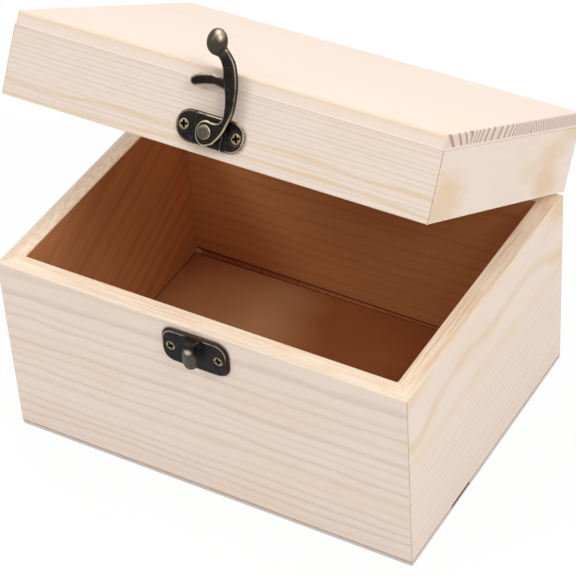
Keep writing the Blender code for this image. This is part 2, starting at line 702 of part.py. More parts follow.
PINE = new_material("pine", (0.80, 0.66, 0.50), 0.62)
PLYWOOD = new_material("plywood", (0.62, 0.50, 0.38), 0.70)
BRONZE = new_material("antique_bronze", (0.075, 0.060, 0.048), 0.38, 1.0)
SCREW_METAL = new_material("screw_bronze", (0.42, 0.36, 0.24), 0.40, 1.0)
HINGE_METAL = new_material("hinge_bronze", (0.12, 0.095, 0.065), 0.42, 1.0)

base = new_frame("box_base", (0, 0, 0))
lid = new_frame("lid_pivot", AXIS_PLACE, (-LID_OPEN_ANGLE, 0, 0))
lid_centre = (0, -AXIS_PLACE[1], PARTING_HEIGHT - AXIS_PLACE[2])
lid_front_place = (0, lid_centre[1] - BOX_DEPTH / 2, lid_centre[2])
base_front = new_frame("base_front", (0, -BOX_DEPTH / 2, 0), (RIGHT_ANGLE, 0, 0), base)
lid_front = new_frame("lid_front", lid_front_place, (RIGHT_ANGLE, 0, 0), lid)
hook_pivot = new_frame("hook_pivot", (*LATCH_PLACE, 0), (0, 0, HOOK_LEAN), lid_front)

base_walls = make_base(base)
lid_rails = make_lid(lid, lid_centre)
make_catch(base_front, base_walls["front_wall"])
make_latch_plate(lid_front, lid_rails["lid_front_rail"])
make_rivet(lid_front)
make_hook(hook_pivot)
make_hinges(base, lid, base_walls["back_wall"], lid_rails["lid_back_rail"])
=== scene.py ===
# %% [markdown]
# # A pine craft box with a hook latch
#
# This lesson dresses a small wooden box. The solids already exist: they come from a CAD model
# and stay where they are. What is added here is everything that makes a viewer believe in
# them: pine with its growth rings, dried glue in the joints, dark bronze that is worn bright
# on its edges, a camera and soft light. Each step says what the real thing is before it
# makes it.

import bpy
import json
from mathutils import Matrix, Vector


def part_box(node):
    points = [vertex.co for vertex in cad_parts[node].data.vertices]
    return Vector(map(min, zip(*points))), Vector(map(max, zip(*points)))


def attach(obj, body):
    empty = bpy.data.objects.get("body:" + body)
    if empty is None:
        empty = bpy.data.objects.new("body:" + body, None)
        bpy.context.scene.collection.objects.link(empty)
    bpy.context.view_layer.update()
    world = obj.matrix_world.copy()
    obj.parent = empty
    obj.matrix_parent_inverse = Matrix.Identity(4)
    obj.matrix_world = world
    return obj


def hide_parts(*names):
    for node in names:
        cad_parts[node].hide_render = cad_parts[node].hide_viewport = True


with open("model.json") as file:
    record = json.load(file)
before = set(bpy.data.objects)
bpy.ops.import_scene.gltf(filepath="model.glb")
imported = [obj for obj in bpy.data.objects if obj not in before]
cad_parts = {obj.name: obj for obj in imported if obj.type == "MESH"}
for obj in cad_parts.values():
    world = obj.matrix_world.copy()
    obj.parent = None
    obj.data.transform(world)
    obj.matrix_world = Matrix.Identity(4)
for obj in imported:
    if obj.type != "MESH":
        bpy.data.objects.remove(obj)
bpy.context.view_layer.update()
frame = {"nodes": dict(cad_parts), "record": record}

# %% [markdown]
# Everything is in metres, but a joiner thinks in millimetres, so one value turns them.
# The sizes are measured on the solids and are not typed again. The lid stands open at
# rest, and the hinge's own limits say by how much: its low limit is the shut lid. With that
# angle a matrix takes the lid's boards back to where they lie when the box is shut, which
# is the place where they are easy to describe.

# %% Measure the box and the open lid
import json
import math

import bmesh
import bpy
import numpy as np
from mathutils import Matrix, Vector

MM = 0.001
QUARTER = math.pi / 2
half_width, half_depth, panel_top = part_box("bottom_panel")[1]
rim_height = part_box("front_wall")[1][2]
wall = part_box("front_wall")[1][1] + half_depth
hinge = next(joint for joint in frame["record"]["behaviour"]["joints"] if joint["name"] == "lid_hinge")
axis_place = Vector(hinge["pos_m"])
lid_angle = math.radians(-hinge["range_deg"][0])
swing = Matrix.Rotation(lid_angle, 4, Vector(hinge["axis"]))
open_lid = Matrix.Translation(axis_place) @ swing @ Matrix.Translation(-axis_place)


def span(node, matrix):
    """Lowest and highest corner of a solid, measured along the axes of a frame of its own."""
    back = matrix.inverted()
    points = np.array([back @ vertex.co for vertex in frame["nodes"][node].data.vertices])
    return Vector(points.min(axis=0)), Vector(points.max(axis=0))


lid_foot, lid_rail_top = (corner.z for corner in span("lid_front_rail", open_lid))
lid_board_foot, lid_top = (corner.z for corner in span("lid_top_panel", open_lid))
print(f"box {2 * half_width / MM:.1f} x {2 * half_depth / MM:.1f} mm, rim at {rim_height / MM:.1f} mm")
print(f"walls {wall / MM:.1f} mm, lid {(lid_top - lid_foot) / MM:.1f} mm high")
print(f"lid {math.degrees(lid_angle):.1f} degrees open")

# %% [markdown]
# A flat face is easiest to work on when it is looked at square on. These frames stand on a
# face of the box: X runs to the right along it, Y up it, and Z straight out of it. They place
# the grain on each board, and later the screws and the castings.

# %% Stand a frame on each face


def face_frame(turns, out, foot, carrier=Matrix()):
    """A frame on one side of the box: quarter turns about Z, distance out, height of its foot."""
    stand = Matrix.Rotation(turns * QUARTER, 4, "Z") @ Matrix.Translation((0, -out, foot))
    return carrier @ stand @ Matrix.Rotation(QUARTER, 4, "X")


sides = {"front": (0, half_depth), "right": (1, half_width), "back": (2, half_depth), "left": (3, half_width)}
base_face = {name: face_frame(turns, out, 0) for name, (turns, out) in sides.items()}
lid_face = {name: face_frame(turns, out, lid_foot, open_lid) for name, (turns, out) in sides.items()}
top_face = open_lid @ Matrix.Translation((0, 0, lid_top))
print("front of the lid looks along", [round(v, 3) for v in lid_face["front"].col[2][:3]])

# %% [markdown]
# ## Camera
#
# The photograph was taken from the front right and above with a long lens, so its edges
# hardly converge. The place, turn and lens were fitted to the corners of the box.

# %% Set up the camera
CAMERA_PLACE = (0.46290, -0.73424, 0.80228)
CAMERA_TURN = (49.457, 3.065, 29.558)
LENS_MM = 160.505
SENSOR_MM = 36.0
NEAREST = 0.01


def put_in_scene(name, data):
    """Make an object of a mesh, a lamp or a camera."""
    thing = bpy.data.objects.new(name, data)
    bpy.context.scene.collection.objects.link(thing)
    return thing


camera = put_in_scene("photo_camera", bpy.data.cameras.new("photo_camera"))
camera.data.lens = LENS_MM
camera.data.sensor_width = SENSOR_MM
camera.data.clip_start = NEAREST
camera.location = CAMERA_PLACE
camera.rotation_euler = [math.radians(turn) for turn in CAMERA_TURN]
bpy.context.scene.camera = camera
print("camera is", round(camera.location.length, 3), "m from the box")

# %% [markdown]
# ## Helpers for shader nodes
#
# Node trees written out one node at a time are long. These helpers keep them readable. A
# socket knows which tree it belongs to, so arithmetic needs only the values: a number stays
# a number in the new node, and a socket is linked to it.

# %% Write shader nodes as short expressions


def add_node(tree, kind, inputs=None, **settings):
    """Add a node. An input is a plain value, or a socket that gets linked."""
    node = tree.nodes.new(kind)
    for name, value in settings.items():
        setattr(node, name, value)
    for name, value in (inputs or {}).items():
        if isinstance(value, bpy.types.NodeSocket):
            tree.links.new(value, node.inputs[name])
        else:
            node.inputs[name].default_value = value
    return node


def tree_of(values):
    """The tree of the first socket among some values."""
    return next(value.id_data for value in values if isinstance(value, bpy.types.NodeSocket))


def calc(operation, *values):
    """Arithmetic on values or sockets."""
    inputs = dict(enumerate(values))
    return add_node(tree_of(values), "ShaderNodeMath", inputs, operation=operation).outputs[0]


def ramp(value, low, high, to_low=0.0, to_high=1.0):
    """Take low..high smoothly to to_low..to_high."""
    inputs = {"Value": value, "From Min": low, "From Max": high, "To Min": to_low, "To Max": to_high}
    node = add_node(value.id_data, "ShaderNodeMapRange", inputs, interpolation_type="SMOOTHSTEP")
    return node.outputs["Result"]


def hypot(first, second):
    """How far two steps at right angles lead."""
    return calc("SQRT", calc("MULTIPLY_ADD", first, first, calc("MULTIPLY", second, second)))


def split(place):
    """The X, Y and Z of a place."""
    return add_node(place.id_data, "ShaderNodeSeparateXYZ", {0: place}).outputs


def join(x, y, z):
    """A place made of its X, Y and Z."""
    return add_node(tree_of((x, y, z)), "ShaderNodeCombineXYZ", {0: x, 1: y, 2: z}).outputs[0]


def stretch(place, factors, shift):
    """Scale a place along each axis and shift it along X, so that noise read there is stretched."""
    here = split(place)
    x = calc("MULTIPLY_ADD", here[0], factors[0], shift)
    return join(x, calc("MULTIPLY", here[1], factors[1]), calc("MULTIPLY", here[2], factors[2]))


def from_centre(here, centre, half):
    """How far a place is from a middle in X and Y: 0 there, and 1 at the half sizes."""
    return hypot(*(calc("DIVIDE", calc("SUBTRACT", here[i], centre[i]), half[i]) for i in (0, 1)))


print("helpers ready")

# %% [markdown]
# Colours are written as a picture editor shows them, 0 to 255. Light adds up in another,
# linear scale, so each one is turned once. Noise in a shader is a smooth random value, and it
# is what keeps every finish below from looking like flat paint. Something that several
# finishes share, such as grain, goes into a node group with named sockets.

# %% Mix colours, read noise and make node groups


def paint(red, green, blue):
    """A colour as a picture editor shows it, turned into the linear colour that light uses."""
    shares = [value / 255 for value in (red, green, blue)]
    return [((s + 0.055) / 1.055) ** 2.4 if s > 0.04045 else s / 12.92 for s in shares] + [1.0]


def blend_colour(share, first, second, how="MIX"):
    """Mix two colours. Each is a socket or an (r, g, b, 1) colour."""
    inputs = {0: share, 6: first, 7: second}
    node = add_node(tree_of(inputs.values()), "ShaderNodeMix", inputs, data_type="RGBA", blend_type=how)
    return node.outputs[2]


def noise(place, scale, detail=2.0, roughness=0.5):
    """A smooth random value between about 0.2 and 0.8."""
    inputs = {"Vector": place, "Scale": scale, "Detail": detail, "Roughness": roughness}
    return add_node(place.id_data, "ShaderNodeTexNoise", inputs).outputs["Fac"]


def about_zero(value):
    """Noise that sways to both sides of nothing."""
    return calc("SUBTRACT", value, 0.5)


def new_group(name, inputs, outputs):
    """A node group with named sockets. An input without a value is a place, the others are numbers."""
    tree = bpy.data.node_groups.new(name, "ShaderNodeTree")
    for socket, value in inputs.items():
        kind = "NodeSocketVector" if value is None else "NodeSocketFloat"
        made = tree.interface.new_socket(socket, in_out="INPUT", socket_type=kind)
        if value is not None:
            made.default_value = value
    for socket in outputs:
        tree.interface.new_socket(socket, in_out="OUTPUT", socket_type="NodeSocketFloat")
    return tree, tree.nodes.new("NodeGroupInput").outputs, tree.nodes.new("NodeGroupOutput").inputs


def use_group(group, inputs):
    """Place a node group in a material with this material's own values."""
    return add_node(tree_of(inputs.values()), "ShaderNodeGroup", inputs, node_tree=group).outputs


print("white paper is", [round(v, 3) for v in paint(245, 245, 245)[:3]])

# %% [markdown]
# Every finish starts from the same shader and ends in the same sockets. It reads where the
# shaded point lies in a frame of its own, in millimetres, so one recipe can serve boards that
# stand in any direction. The relief is a bump a few hundredths of a millimetre deep. Anything
# larger is real geometry.

# %% Start and end a material


def bare_material(name):
    """A new material, its tree and its Principled shader."""
    material = bpy.data.materials.new(name)
    material.use_nodes = True
    return material, material.node_tree, material.node_tree.nodes["Principled BSDF"]


def place_in(tree, matrix):
    """The point being shaded, in millimetres along the axes of a frame."""
    back = matrix.inverted()
    return add_node(tree, "ShaderNodeMapping", {
        "Vector": tree.nodes.new("ShaderNodeTexCoord").outputs["Object"],
        "Location": back.translation / MM,
        "Rotation": back.to_euler(),
        "Scale": (1 / MM, 1 / MM, 1 / MM),
    }).outputs[0]


def finish_surface(shader, colour, roughness, relief=None, strength=0.2, depth=0.04, specular=0.5):
    """Plug a colour, a roughness and a relief of some depth in millimetres into a shader."""
    tree = shader.id_data
    tree.links.new(colour, shader.inputs["Base Color"])
    tree.links.new(roughness, shader.inputs["Roughness"])
    shader.inputs["Specular IOR Level"].default_value = specular
    if relief is not None:
        inputs = {"Strength": strength, "Distance": depth * MM, "Height": relief}
        tree.links.new(add_node(tree, "ShaderNodeBump", inputs).outputs[0], shader.inputs["Normal"])


def dress(node, material):
    """Give a solid its finish. The solid itself stays as it is."""
    frame["nodes"][node].material_slots[0].material = material


print("finishes are measured in steps of", MM, "m")

# %% [markdown]
# ## Growth rings
#
# A tree adds one ring a year: a wide pale band in spring and a narrow darker one in late
# summer. A board is a slice through those cylinders, so straight lines, long arches and
# the arcs on a sawn end are one pattern seen from different sides. The group therefore
# measures how far each point is from the tree's heart, the pith, which runs somewhere
# behind the board, and turns that distance into rings. A painted stripe texture would need
# a different pattern on every face and would never meet at the corners.
#
# The board's frame is the face frame, in millimetres: X along the grain, Y across the face
# and Z out of the face. Two noises bend the rings, a slow one by some millimetres and a
# quick one by less, and a third makes some years wider than others. Each has its number of
# waves per millimetre along, across and into the board, and how far it bends. The summer line
# is darkest at one part of the year, and some years are fainter than others.

# %% Build the growth ring group
SLOW_WAVES = (0.011, 0.035, 0.035)
QUICK_WAVES = (0.035, 0.12, 0.12)
SLOW_BEND = 5.0
QUICK_BEND = 1.6
YEAR_WAVES = 0.31
YEAR_SPREAD = 0.9
DARKEST = 0.76
FAINTEST_YEAR = 0.45

rings, given, out = new_group(
    "growth_rings",
    {
        "Place": None, "Pith height": -30.0, "Pith depth": 30.0, "Climb": 0.02, "Ring width": 4.0,
        "Waver": 1.0, "Line share": 0.3, "Seed": 0.0,
    },
    ("Latewood",),
)
here = split(given["Place"])
seeded = calc("MULTIPLY", given["Seed"], 91.7)
slow, quick = (
    calc("MULTIPLY", about_zero(noise(stretch(given["Place"], waves, seeded), 1.0, 1.0)), given["Waver"])
    for waves in (SLOW_WAVES, QUICK_WAVES)
)
across = calc("MULTIPLY_ADD", slow, SLOW_BEND, calc("SUBTRACT", here["Y"], given["Pith height"]))
depth = calc("ADD", calc("MULTIPLY_ADD", here["X"], given["Climb"], given["Pith depth"]), here["Z"])
reach = calc("MULTIPLY_ADD", quick, QUICK_BEND, hypot(across, depth))
count = calc("DIVIDE", reach, given["Ring width"])
uneven = add_node(rings, "ShaderNodeTexNoise", {
    "W": calc("MULTIPLY_ADD", count, YEAR_WAVES, seeded), "Scale": 1.0, "Detail": 1.0,
}, noise_dimensions="1D").outputs["Fac"]
count = calc("MULTIPLY_ADD", uneven, YEAR_SPREAD, count)
year = add_node(rings, "ShaderNodeTexWhiteNoise", {
    "W": calc("ADD", calc("FLOOR", count), seeded),
}, noise_dimensions="1D").outputs["Value"]
part_of_year = calc("FRACT", count)
starts = calc("SUBTRACT", 1.0, given["Line share"])
summer = calc("MULTIPLY", ramp(part_of_year, starts, DARKEST), ramp(part_of_year, 1.0, DARKEST))
rings.links.new(calc("MULTIPLY", summer, ramp(year, 0.0, 1.0, FAINTEST_YEAR, 1.0)), out["Latewood"])
print("growth_rings has", len(rings.nodes), "nodes")

# %% [markdown]
# ## Fibres
#
# Between the rings, wood is made of fibres that run along the board. They show as very
# fine streaks. Noise that is stretched a long way along the grain gives them, and noise
# that is far larger gives the cloudy patches in which the wood changes its tone.

# %% Build the fibre group
fibres, given, out = new_group(
    "wood_fibres", {"Place": None, "Per mm": 1.5, "Seed": 0.0}, ("Streaks", "Cloud"),
)
streak_waves = (0.03, given["Per mm"], given["Per mm"])
cloud_waves = (0.015, 0.05, 0.05)
streak_place = stretch(given["Place"], streak_waves, calc("MULTIPLY", given["Seed"], 13.1))
cloud_place = stretch(given["Place"], cloud_waves, calc("MULTIPLY", given["Seed"], 7.9))
fibres.links.new(noise(streak_place, 1.0, 3.0, 0.62), out["Streaks"])
fibres.links.new(noise(cloud_place, 1.0, 2.0), out["Cloud"])
print("wood_fibres has", len(fibres.nodes), "nodes")

# %% [markdown]
# ## The painted shade inside
#
# The outside is bare pine. The inside is painted a deep warm brown, which is painted shade
# for the nearly shut box. The same board is both, so the material asks where a point is:
# within the inner faces of the four walls it is inside. The group works in the frame of the
# shut box, so that it holds for the lid too.

# %% Build the group that finds the inside
hollow, given, out = new_group(
    "inside_of_box",
    {"Place": None, "Half width": 91.0, "Half depth": 65.0, "Low": 0.0, "High": 96.0},
    ("Inside",),
)
here = split(given["Place"])
past_side = calc("SUBTRACT", calc("ABSOLUTE", here["X"]), given["Half width"])
past_end = calc("SUBTRACT", calc("ABSOLUTE", here["Y"]), given["Half depth"])
past_top = calc("SUBTRACT", here["Z"], given["High"])
past_floor = calc("SUBTRACT", given["Low"], here["Z"])
past = calc("MAXIMUM", calc("MAXIMUM", past_side, past_end), calc("MAXIMUM", past_top, past_floor))
hollow.links.new(ramp(past, 0.12, 0.02), out["Inside"])


def is_inside(place, low, high, margin=0.0):
    """1 inside the box between two heights in metres. The margin moves its walls out, in millimetres."""
    return use_group(hollow, {
        "Place": place, "Half width": (half_width - wall) / MM + margin,
        "Half depth": (half_depth - wall) / MM + margin, "Low": low / MM, "High": high / MM,
    })["Inside"]


print("inside_of_box has", len(hollow.nodes), "nodes")

# %% [markdown]
# ## Lines and blotches of one board
#
# Growth rings alone would make every board alike. A real one also has a few stronger tan
# lines that wander along it, and soft warm blotches where resin sits under the surface. Both
# are groups, because every board has its own few of them. A line needs to know how high it
# lies at each place along the board. That path is a curve through a handful of points, read
# off with a ruler.

# %% Build the groups for a strong line and a soft blotch
strong_line, given, out = new_group(
    "strong_line", {"Place": None, "Centre": 20.0, "Width": 1.5, "Seed": 0.0}, ("Line",),
)
here = split(given["Place"])
unrest = noise(join(calc("MULTIPLY", here["X"], 0.05), calc("MULTIPLY", given["Seed"], 5.3), 0.0), 1.0, 2.0)
away = calc("ABSOLUTE", calc("SUBTRACT", here["Y"], given["Centre"]))
reach = calc("MULTIPLY", given["Width"], ramp(unrest, 0.25, 0.75, 0.45, 0.85))
shape = ramp(calc("DIVIDE", away, reach), 1.0, 0.1)
strong_line.links.new(calc("MULTIPLY", shape, ramp(unrest, 0.2, 0.7, 0.55, 1.0)), out["Line"])

blotch, given, out = new_group(
    "soft_blotch",
    {"Place": None, "Centre X": 0.0, "Centre Y": 0.0, "Half width": 20.0, "Half height": 10.0, "Seed": 0.0},
    ("Blotch",),
)
centre = (given["Centre X"], given["Centre Y"])
half = (given["Half width"], given["Half height"])
unrest = about_zero(noise(stretch(given["Place"], (0.05, 0.12, 0.0), given["Seed"]), 1.0, 2.0))
from_middle = calc("MULTIPLY_ADD", unrest, 1.2, from_centre(split(given["Place"]), centre, half))
blotch.links.new(ramp(from_middle, 1.25, 0.35), out["Blotch"])
print("strong_line has", len(strong_line.nodes), "nodes, soft_blotch has", len(blotch.nodes))

# %% [markdown]
# ## Pine boards
#
# Every board gets its own material from one function, because every board was cut from
# another place in the tree. What differs is where the pith ran, how wide its years are and
# how strongly they show. Faces that were sawn across the years are warmer: the rims of the
# walls are peach, partly their own tone and partly painted light on their tops, and the ends
# of the lid's board show the rings as dark lines on pink.

# %% Name the colours of pine and draw a line's path
PALE_PINE = paint(238, 221, 206)
SUMMER_PINE = paint(212, 190, 168)
TAN_PINE = paint(228, 199, 164)
STREAK_PINE = paint(210, 160, 112)
RIM_SHADE_GREY = paint(206, 190, 172)
RIM_CREAM_AND_LIGHT = paint(252, 233, 208)
ARRIS_HIGHLIGHT = paint(255, 232, 198)
INNER_SHADE_BROWN = paint(214, 151, 97)
INNER_SHADE_SUMMER = paint(172, 106, 62)
INNER_CORNER_LIGHT = paint(231, 168, 110)
SLOT_SHADE_BROWN = paint(44, 28, 16)
PATH_SPAN = 200.0
PATH_RISE = 100.0


def draw_path(along, points, low=0.0, high=PATH_RISE):
    """A smooth curve through (along, value) points. Along counts from the middle of the board."""
    start = calc("DIVIDE", calc("ADD", along, PATH_SPAN / 2), PATH_SPAN)
    node = add_node(along.id_data, "ShaderNodeFloatCurve", {"Value": start})
    curve = node.mapping.curves[0]
    shares = [((x + PATH_SPAN / 2) / PATH_SPAN, (value - low) / (high - low)) for x, value in points]
    curve.points[0].location = shares[0]
    curve.points[1].location = shares[-1]
    for share in shares[1:-1]:
        curve.points.new(*share)
    node.mapping.update()
    return calc("MULTIPLY_ADD", node.outputs[0], high - low, low)


print("pale pine", [round(v, 2) for v in PALE_PINE[:3]])

# %% [markdown]
# The recipe mixes colours in the order in which they lie in the wood: first the pale ground,
# the grey summer lines, a blush in the cloudy patches, the tan lines and the blotches. Some
# boards have a calm part, above which their summer lines are faint.

# %% Write the recipe for the wood itself
CALM_FADE = 4
CALM_LEVEL = 0.25
FIBRES_PER_MM = 1.6


def tanned(colour, mask, strength):
    """Lay tan over a colour where a mask says so."""
    return blend_colour(calc("MULTIPLY", mask, strength), colour, TAN_PINE)


def wood_colour(place, look):
    """The wood's colour, and the two patterns in it that the rest of the recipe needs."""
    spot, seed = split(place), look["seed"]
    late = use_group(rings, {
        "Place": place, "Pith height": look["pith"][0], "Pith depth": look["pith"][1], "Climb": look["climb"],
        "Ring width": look["ring"], "Waver": look["waver"], "Line share": look["share"], "Seed": seed,
    })["Latewood"]
    calm = ramp(spot["Y"], look["calm_above"] + CALM_FADE, look["calm_above"] - CALM_FADE, CALM_LEVEL, 1.0)
    late = calc("MULTIPLY", late, calm)
    fibre = use_group(fibres, {"Place": place, "Per mm": FIBRES_PER_MM, "Seed": seed})
    colour = blend_colour(calc("MULTIPLY", late, look["contrast"]), PALE_PINE, SUMMER_PINE)
    colour = tanned(colour, ramp(fibre["Cloud"], 0.48, 0.72), look["blush"])
    for number, (path, width, strength) in enumerate(look["lines"]):
        line = use_group(strong_line, {
            "Place": place, "Centre": draw_path(spot["X"], path), "Width": width, "Seed": seed + number,
        })["Line"]
        colour = tanned(colour, line, strength)
    for number, (centre, half, strength) in enumerate(look["blotches"]):
        mark = use_group(blotch, {
            "Place": place, "Centre X": centre[0], "Centre Y": centre[1],
            "Half width": half[0], "Half height": half[1], "Seed": seed + number,
        })["Blotch"]
        colour = tanned(colour, mark, strength)
    return colour, late, fibre


print("wood recipe ready")

# %% [markdown]
# Over the wood come the warm rim, the brown of the inside and, where a slot was left without
# glue, its dark walls. The rim's colour starts a little below the edge, so that it fades into
# the face as it does on the real box. It is cream with long streaks, its own tone with painted
# light on it. Towards its outer edge painted shade can grey it, and a painted highlight makes
# it palest along its inner edge. The brown of the inside is painted shade. Painted light makes
# it palest in the back left corner, and the rings show through it faintly. The slot's dark
# walls are painted shade too.

# %% Write the recipes for the rim, the inside and the slot
RIM_STREAKS_PER_MM = 0.75
RIM_STREAKS = (0.44, 0.62)
RIM_SHADE_BAND = (-6.5, -2.5)
ARRIS_HIGHLIGHT_BAND = (-8.2, -8.8)
ARRIS_HIGHLIGHT_STRENGTH = 0.8
CORNER_LIGHT_BAND = (30.0, 118.0)
CLOUD_IN_BROWN = 0.3
RINGS_IN_BROWN = 0.25


def rim_colour(colour, place, height, edge, outward, fade, streaked, rim_shade):
    """The board's narrow rim. Edge is its height, and outward is 1 on top of a board and -1 below it.

    Depth counts in from the board's outer face and is negative: the arris is the rim's inner edge.
    """
    depth = split(place)["Z"]
    streaks = use_group(fibres, {
        "Place": place, "Per mm": RIM_STREAKS_PER_MM, "Seed": 40.0 + rim_shade,
    })["Streaks"]
    above = calc("MULTIPLY", calc("SUBTRACT", height, edge), outward)
    on_face = ramp(above, -fade[0], -0.1, 0.0, fade[1])
    on_rim = calc("MULTIPLY", ramp(above, -0.22, -0.05), ramp(depth, 0.0, -4.0, 0.55, 1.0))
    # The cream is the rim's own tone with painted light on its top.
    cream = blend_colour(ramp(streaks, *RIM_STREAKS, 0.0, streaked), RIM_CREAM_AND_LIGHT, STREAK_PINE)
    # Painted shade: a grey band towards the rim's outer edge.
    cream = blend_colour(ramp(depth, *RIM_SHADE_BAND, 0.0, rim_shade), cream, RIM_SHADE_GREY)
    # Painted highlight: a pale line along the rim's inner arris.
    cream = blend_colour(ramp(depth, *ARRIS_HIGHLIGHT_BAND, 0.0, ARRIS_HIGHLIGHT_STRENGTH), cream, ARRIS_HIGHLIGHT)
    return blend_colour(calc("MAXIMUM", on_face, on_rim), colour, cream)


def inner_shade_colour(in_box, late, cloud):
    """The brown painted shade of the inside, with painted light towards the back left corner."""
    # Painted light towards the back left corner, where the lid's shade falls.
    to_back_left = calc("MULTIPLY_ADD", in_box["Y"], 0.5, calc("MULTIPLY", in_box["X"], -1.0))
    brown = blend_colour(ramp(to_back_left, *CORNER_LIGHT_BAND), INNER_SHADE_BROWN, INNER_CORNER_LIGHT)
    brown = blend_colour(ramp(cloud, 0.4, 0.8, 0.0, CLOUD_IN_BROWN), brown, INNER_SHADE_SUMMER)
    return blend_colour(calc("MULTIPLY", late, RINGS_IN_BROWN), brown, INNER_SHADE_SUMMER)


def slot_shade_mask(in_box, centre, half):
    """1 inside a small box, for painted shade on the walls of a slot."""
    past = 0.0
    for axis in range(3):
        away = calc("ABSOLUTE", calc("SUBTRACT", in_box[axis], centre[axis]))
        past = calc("MAXIMUM", calc("SUBTRACT", away, half[axis]), past)
    return ramp(past, 0.06, 0.01)


print("rims, inside and slot ready")

# %% [markdown]
# A board's material puts these together. The brown, which is painted shade, reaches as far as
# the inside does, the fibres make everything a little paler or darker, and rings and fibres
# stand up as a faint relief.

# %% Write the recipe for a pine board
FIBRE_SHADE = (0.975, 1.015)
RING_RELIEF = 0.6


def pine_board(name, board_frame, box_frame, look, inside):
    """Bare pine outside and brown painted shade inside, with this board's own growth rings."""
    material, tree, shader = bare_material(name)
    place = place_in(tree, board_frame @ Matrix.Rotation(math.radians(look["slant"]), 4, "Z"))
    colour, late, fibre = wood_colour(place, look)
    box_place = place_in(tree, box_frame)
    in_box = split(box_place)
    if look["rim"]:
        colour = rim_colour(colour, place, in_box["Z"], *look["rim"])
    # Painted shade: the brown of the inside.
    brown = inner_shade_colour(in_box, late, fibre["Cloud"])
    colour = blend_colour(is_inside(box_place, *inside), colour, brown)
    # Painted shade inside the shade boxes, such as the slot.
    for cave in look["caves"]:
        colour = blend_colour(slot_shade_mask(in_box, *cave), colour, SLOT_SHADE_BROWN)
    shade = ramp(fibre["Streaks"], 0.30, 0.70, *(look["level"] * share for share in FIBRE_SHADE))
    colour = blend_colour(1.0, colour, shade, "MULTIPLY")
    relief = calc("MULTIPLY_ADD", late, RING_RELIEF, fibre["Streaks"])
    finish_surface(shader, colour, ramp(fibre["Streaks"], 0.3, 0.7, 0.58, 0.72), relief, specular=0.3)
    return material


print("board recipe ready")

# %% [markdown]
# The tables below hold one entry for each board. Pith is its height above the board's lower
# edge and its depth behind the face, in millimetres. A pith far from the board gives nearly
# straight lines, one just behind it gives arches. A line is a path of points, its width and
# its strength. A blotch is a middle, half sizes and a strength. Slant turns the whole grain on
# the face, in degrees, and level makes a board a little paler or darker than the others; on
# the lid's front it is painted shade. Above calm_above the rings are faint. Shade boxes are
# small boxes in which the wood is dark with painted shade. A rim is told how strongly it is
# streaked and how much painted shade greys it towards its outer edge.

# %% Give every board its own cut of the tree
PLAIN_CUT = {
    "lines": (), "blotches": (), "calm_above": 1000, "caves": (), "slant": 0, "level": 1, "rim": None,
}


def cut(seed, pith, ring, share, waver, climb, contrast, blush, **more):
    """How a board was cut from the tree, and how strongly that shows."""
    return {
        **PLAIN_CUT, "seed": seed, "pith": pith, "ring": ring, "share": share, "waver": waver,
        "climb": climb, "contrast": contrast, "blush": blush, **more,
    }


RIGHT_WALL_LINE = (
    (-74, 68.5), (-64, 67), (-52, 73), (-37, 77.7), (-19, 78.5), (1, 75.2), (19, 77), (43, 77), (53, 74.3),
    (63, 68), (74, 64.3),
)
RIGHT_WALL_GREY = ((-74, 57), (-40, 58), (34, 58), (74, 56))
LID_FRONT_UPPER = (
    (-100, 7), (-75, 6.3), (-50, 8.5), (-17, 8), (20, 11), (50, 11), (67, 9.7), (92, 10.2), (100, 10),
)
LID_FRONT_LOWER = ((-100, 1.2), (-50, 1.6), (-17, 3.5), (20, 4.3), (67, 4.3), (100, 2))
BACK_WALL_LINE = ((-100, 40), (-40, 46), (30, 38), (100, 44))
LEFT_WALL_LINE = ((-74, 30), (-20, 36), (40, 33), (74, 40))
# Along Y, the stretch under the right wall that missed its glue.
MISSED_GLUE = (-37, -19)
# The painted shade in the slot there: its middle and its half sizes in the shut box.
SLOT_SHADE_BOX = ((half_width / MM - 1.6, sum(MISSED_GLUE) / 2, panel_top / MM + 0.4), (1.55, 8.6, 0.75))
base_cuts = {
    "front": cut(1, (122, 60), 4.6, 0.62, 1.3, 0.02, 0.52, 0.15, level=1.01),
    "right": cut(
        2, (-260, 60), 3.2, 0.55, 0.5, 0.01, 0.50, 0.10, calm_above=52,
        lines=((RIGHT_WALL_LINE, 9.0, 0.65), (RIGHT_WALL_GREY, 9.0, 0.35)),
        blotches=(((-72, 96), (20, 8), 0.5), ((78, 101), (26, 20), 0.9), ((0, 97), (90, 3), 0.35)),
        caves=(SLOT_SHADE_BOX,),
    ),
    "back": cut(3, (-50, 35), 5.4, 0.65, 1.5, 0.03, 0.55, 0.25, lines=((BACK_WALL_LINE, 3.5, 0.6),)),
    "left": cut(
        4, (150, 50), 8.5, 0.60, 1.6, 0.04, 0.55, 0.25, slant=-24,
        lines=((LEFT_WALL_LINE, 3.5, 0.6),), blotches=(((20, 70), (24, 12), 0.4),),
    ),
}
lid_cuts = {
    # The lid's front has level 0.91: painted shade, because the lamps light its slant more than the walls.
    "front": cut(
        5, (-60, 20), 2.1, 0.55, 0.5, 0.01, 0.50, 0.10, level=0.91,
        lines=((LID_FRONT_UPPER, 2.0, 0.75), (LID_FRONT_LOWER, 2.0, 0.75)),
    ),
    "right": cut(
        6, (-200, 40), 6.0, 0.45, 0.8, 0.02, 0.06, 0.10,
        blotches=(
            ((-62, 8), (20, 14), 0.8), ((46, 8), (16, 12), 0.85), ((26, 13), (16, 5), 0.45),
            ((48, 20), (17, 6), 0.5), ((68, 28), (15, 6), 0.55),
        ),
    ),
    "back": cut(7, (-20, 20), 3.4, 0.45, 1.0, 0.03, 0.50, 0.25),
    "left": cut(8, (55, 25), 5.0, 0.45, 1.0, 0.06, 0.45, 0.25, blotches=(((-30, 12), (20, 10), 0.5),)),
}
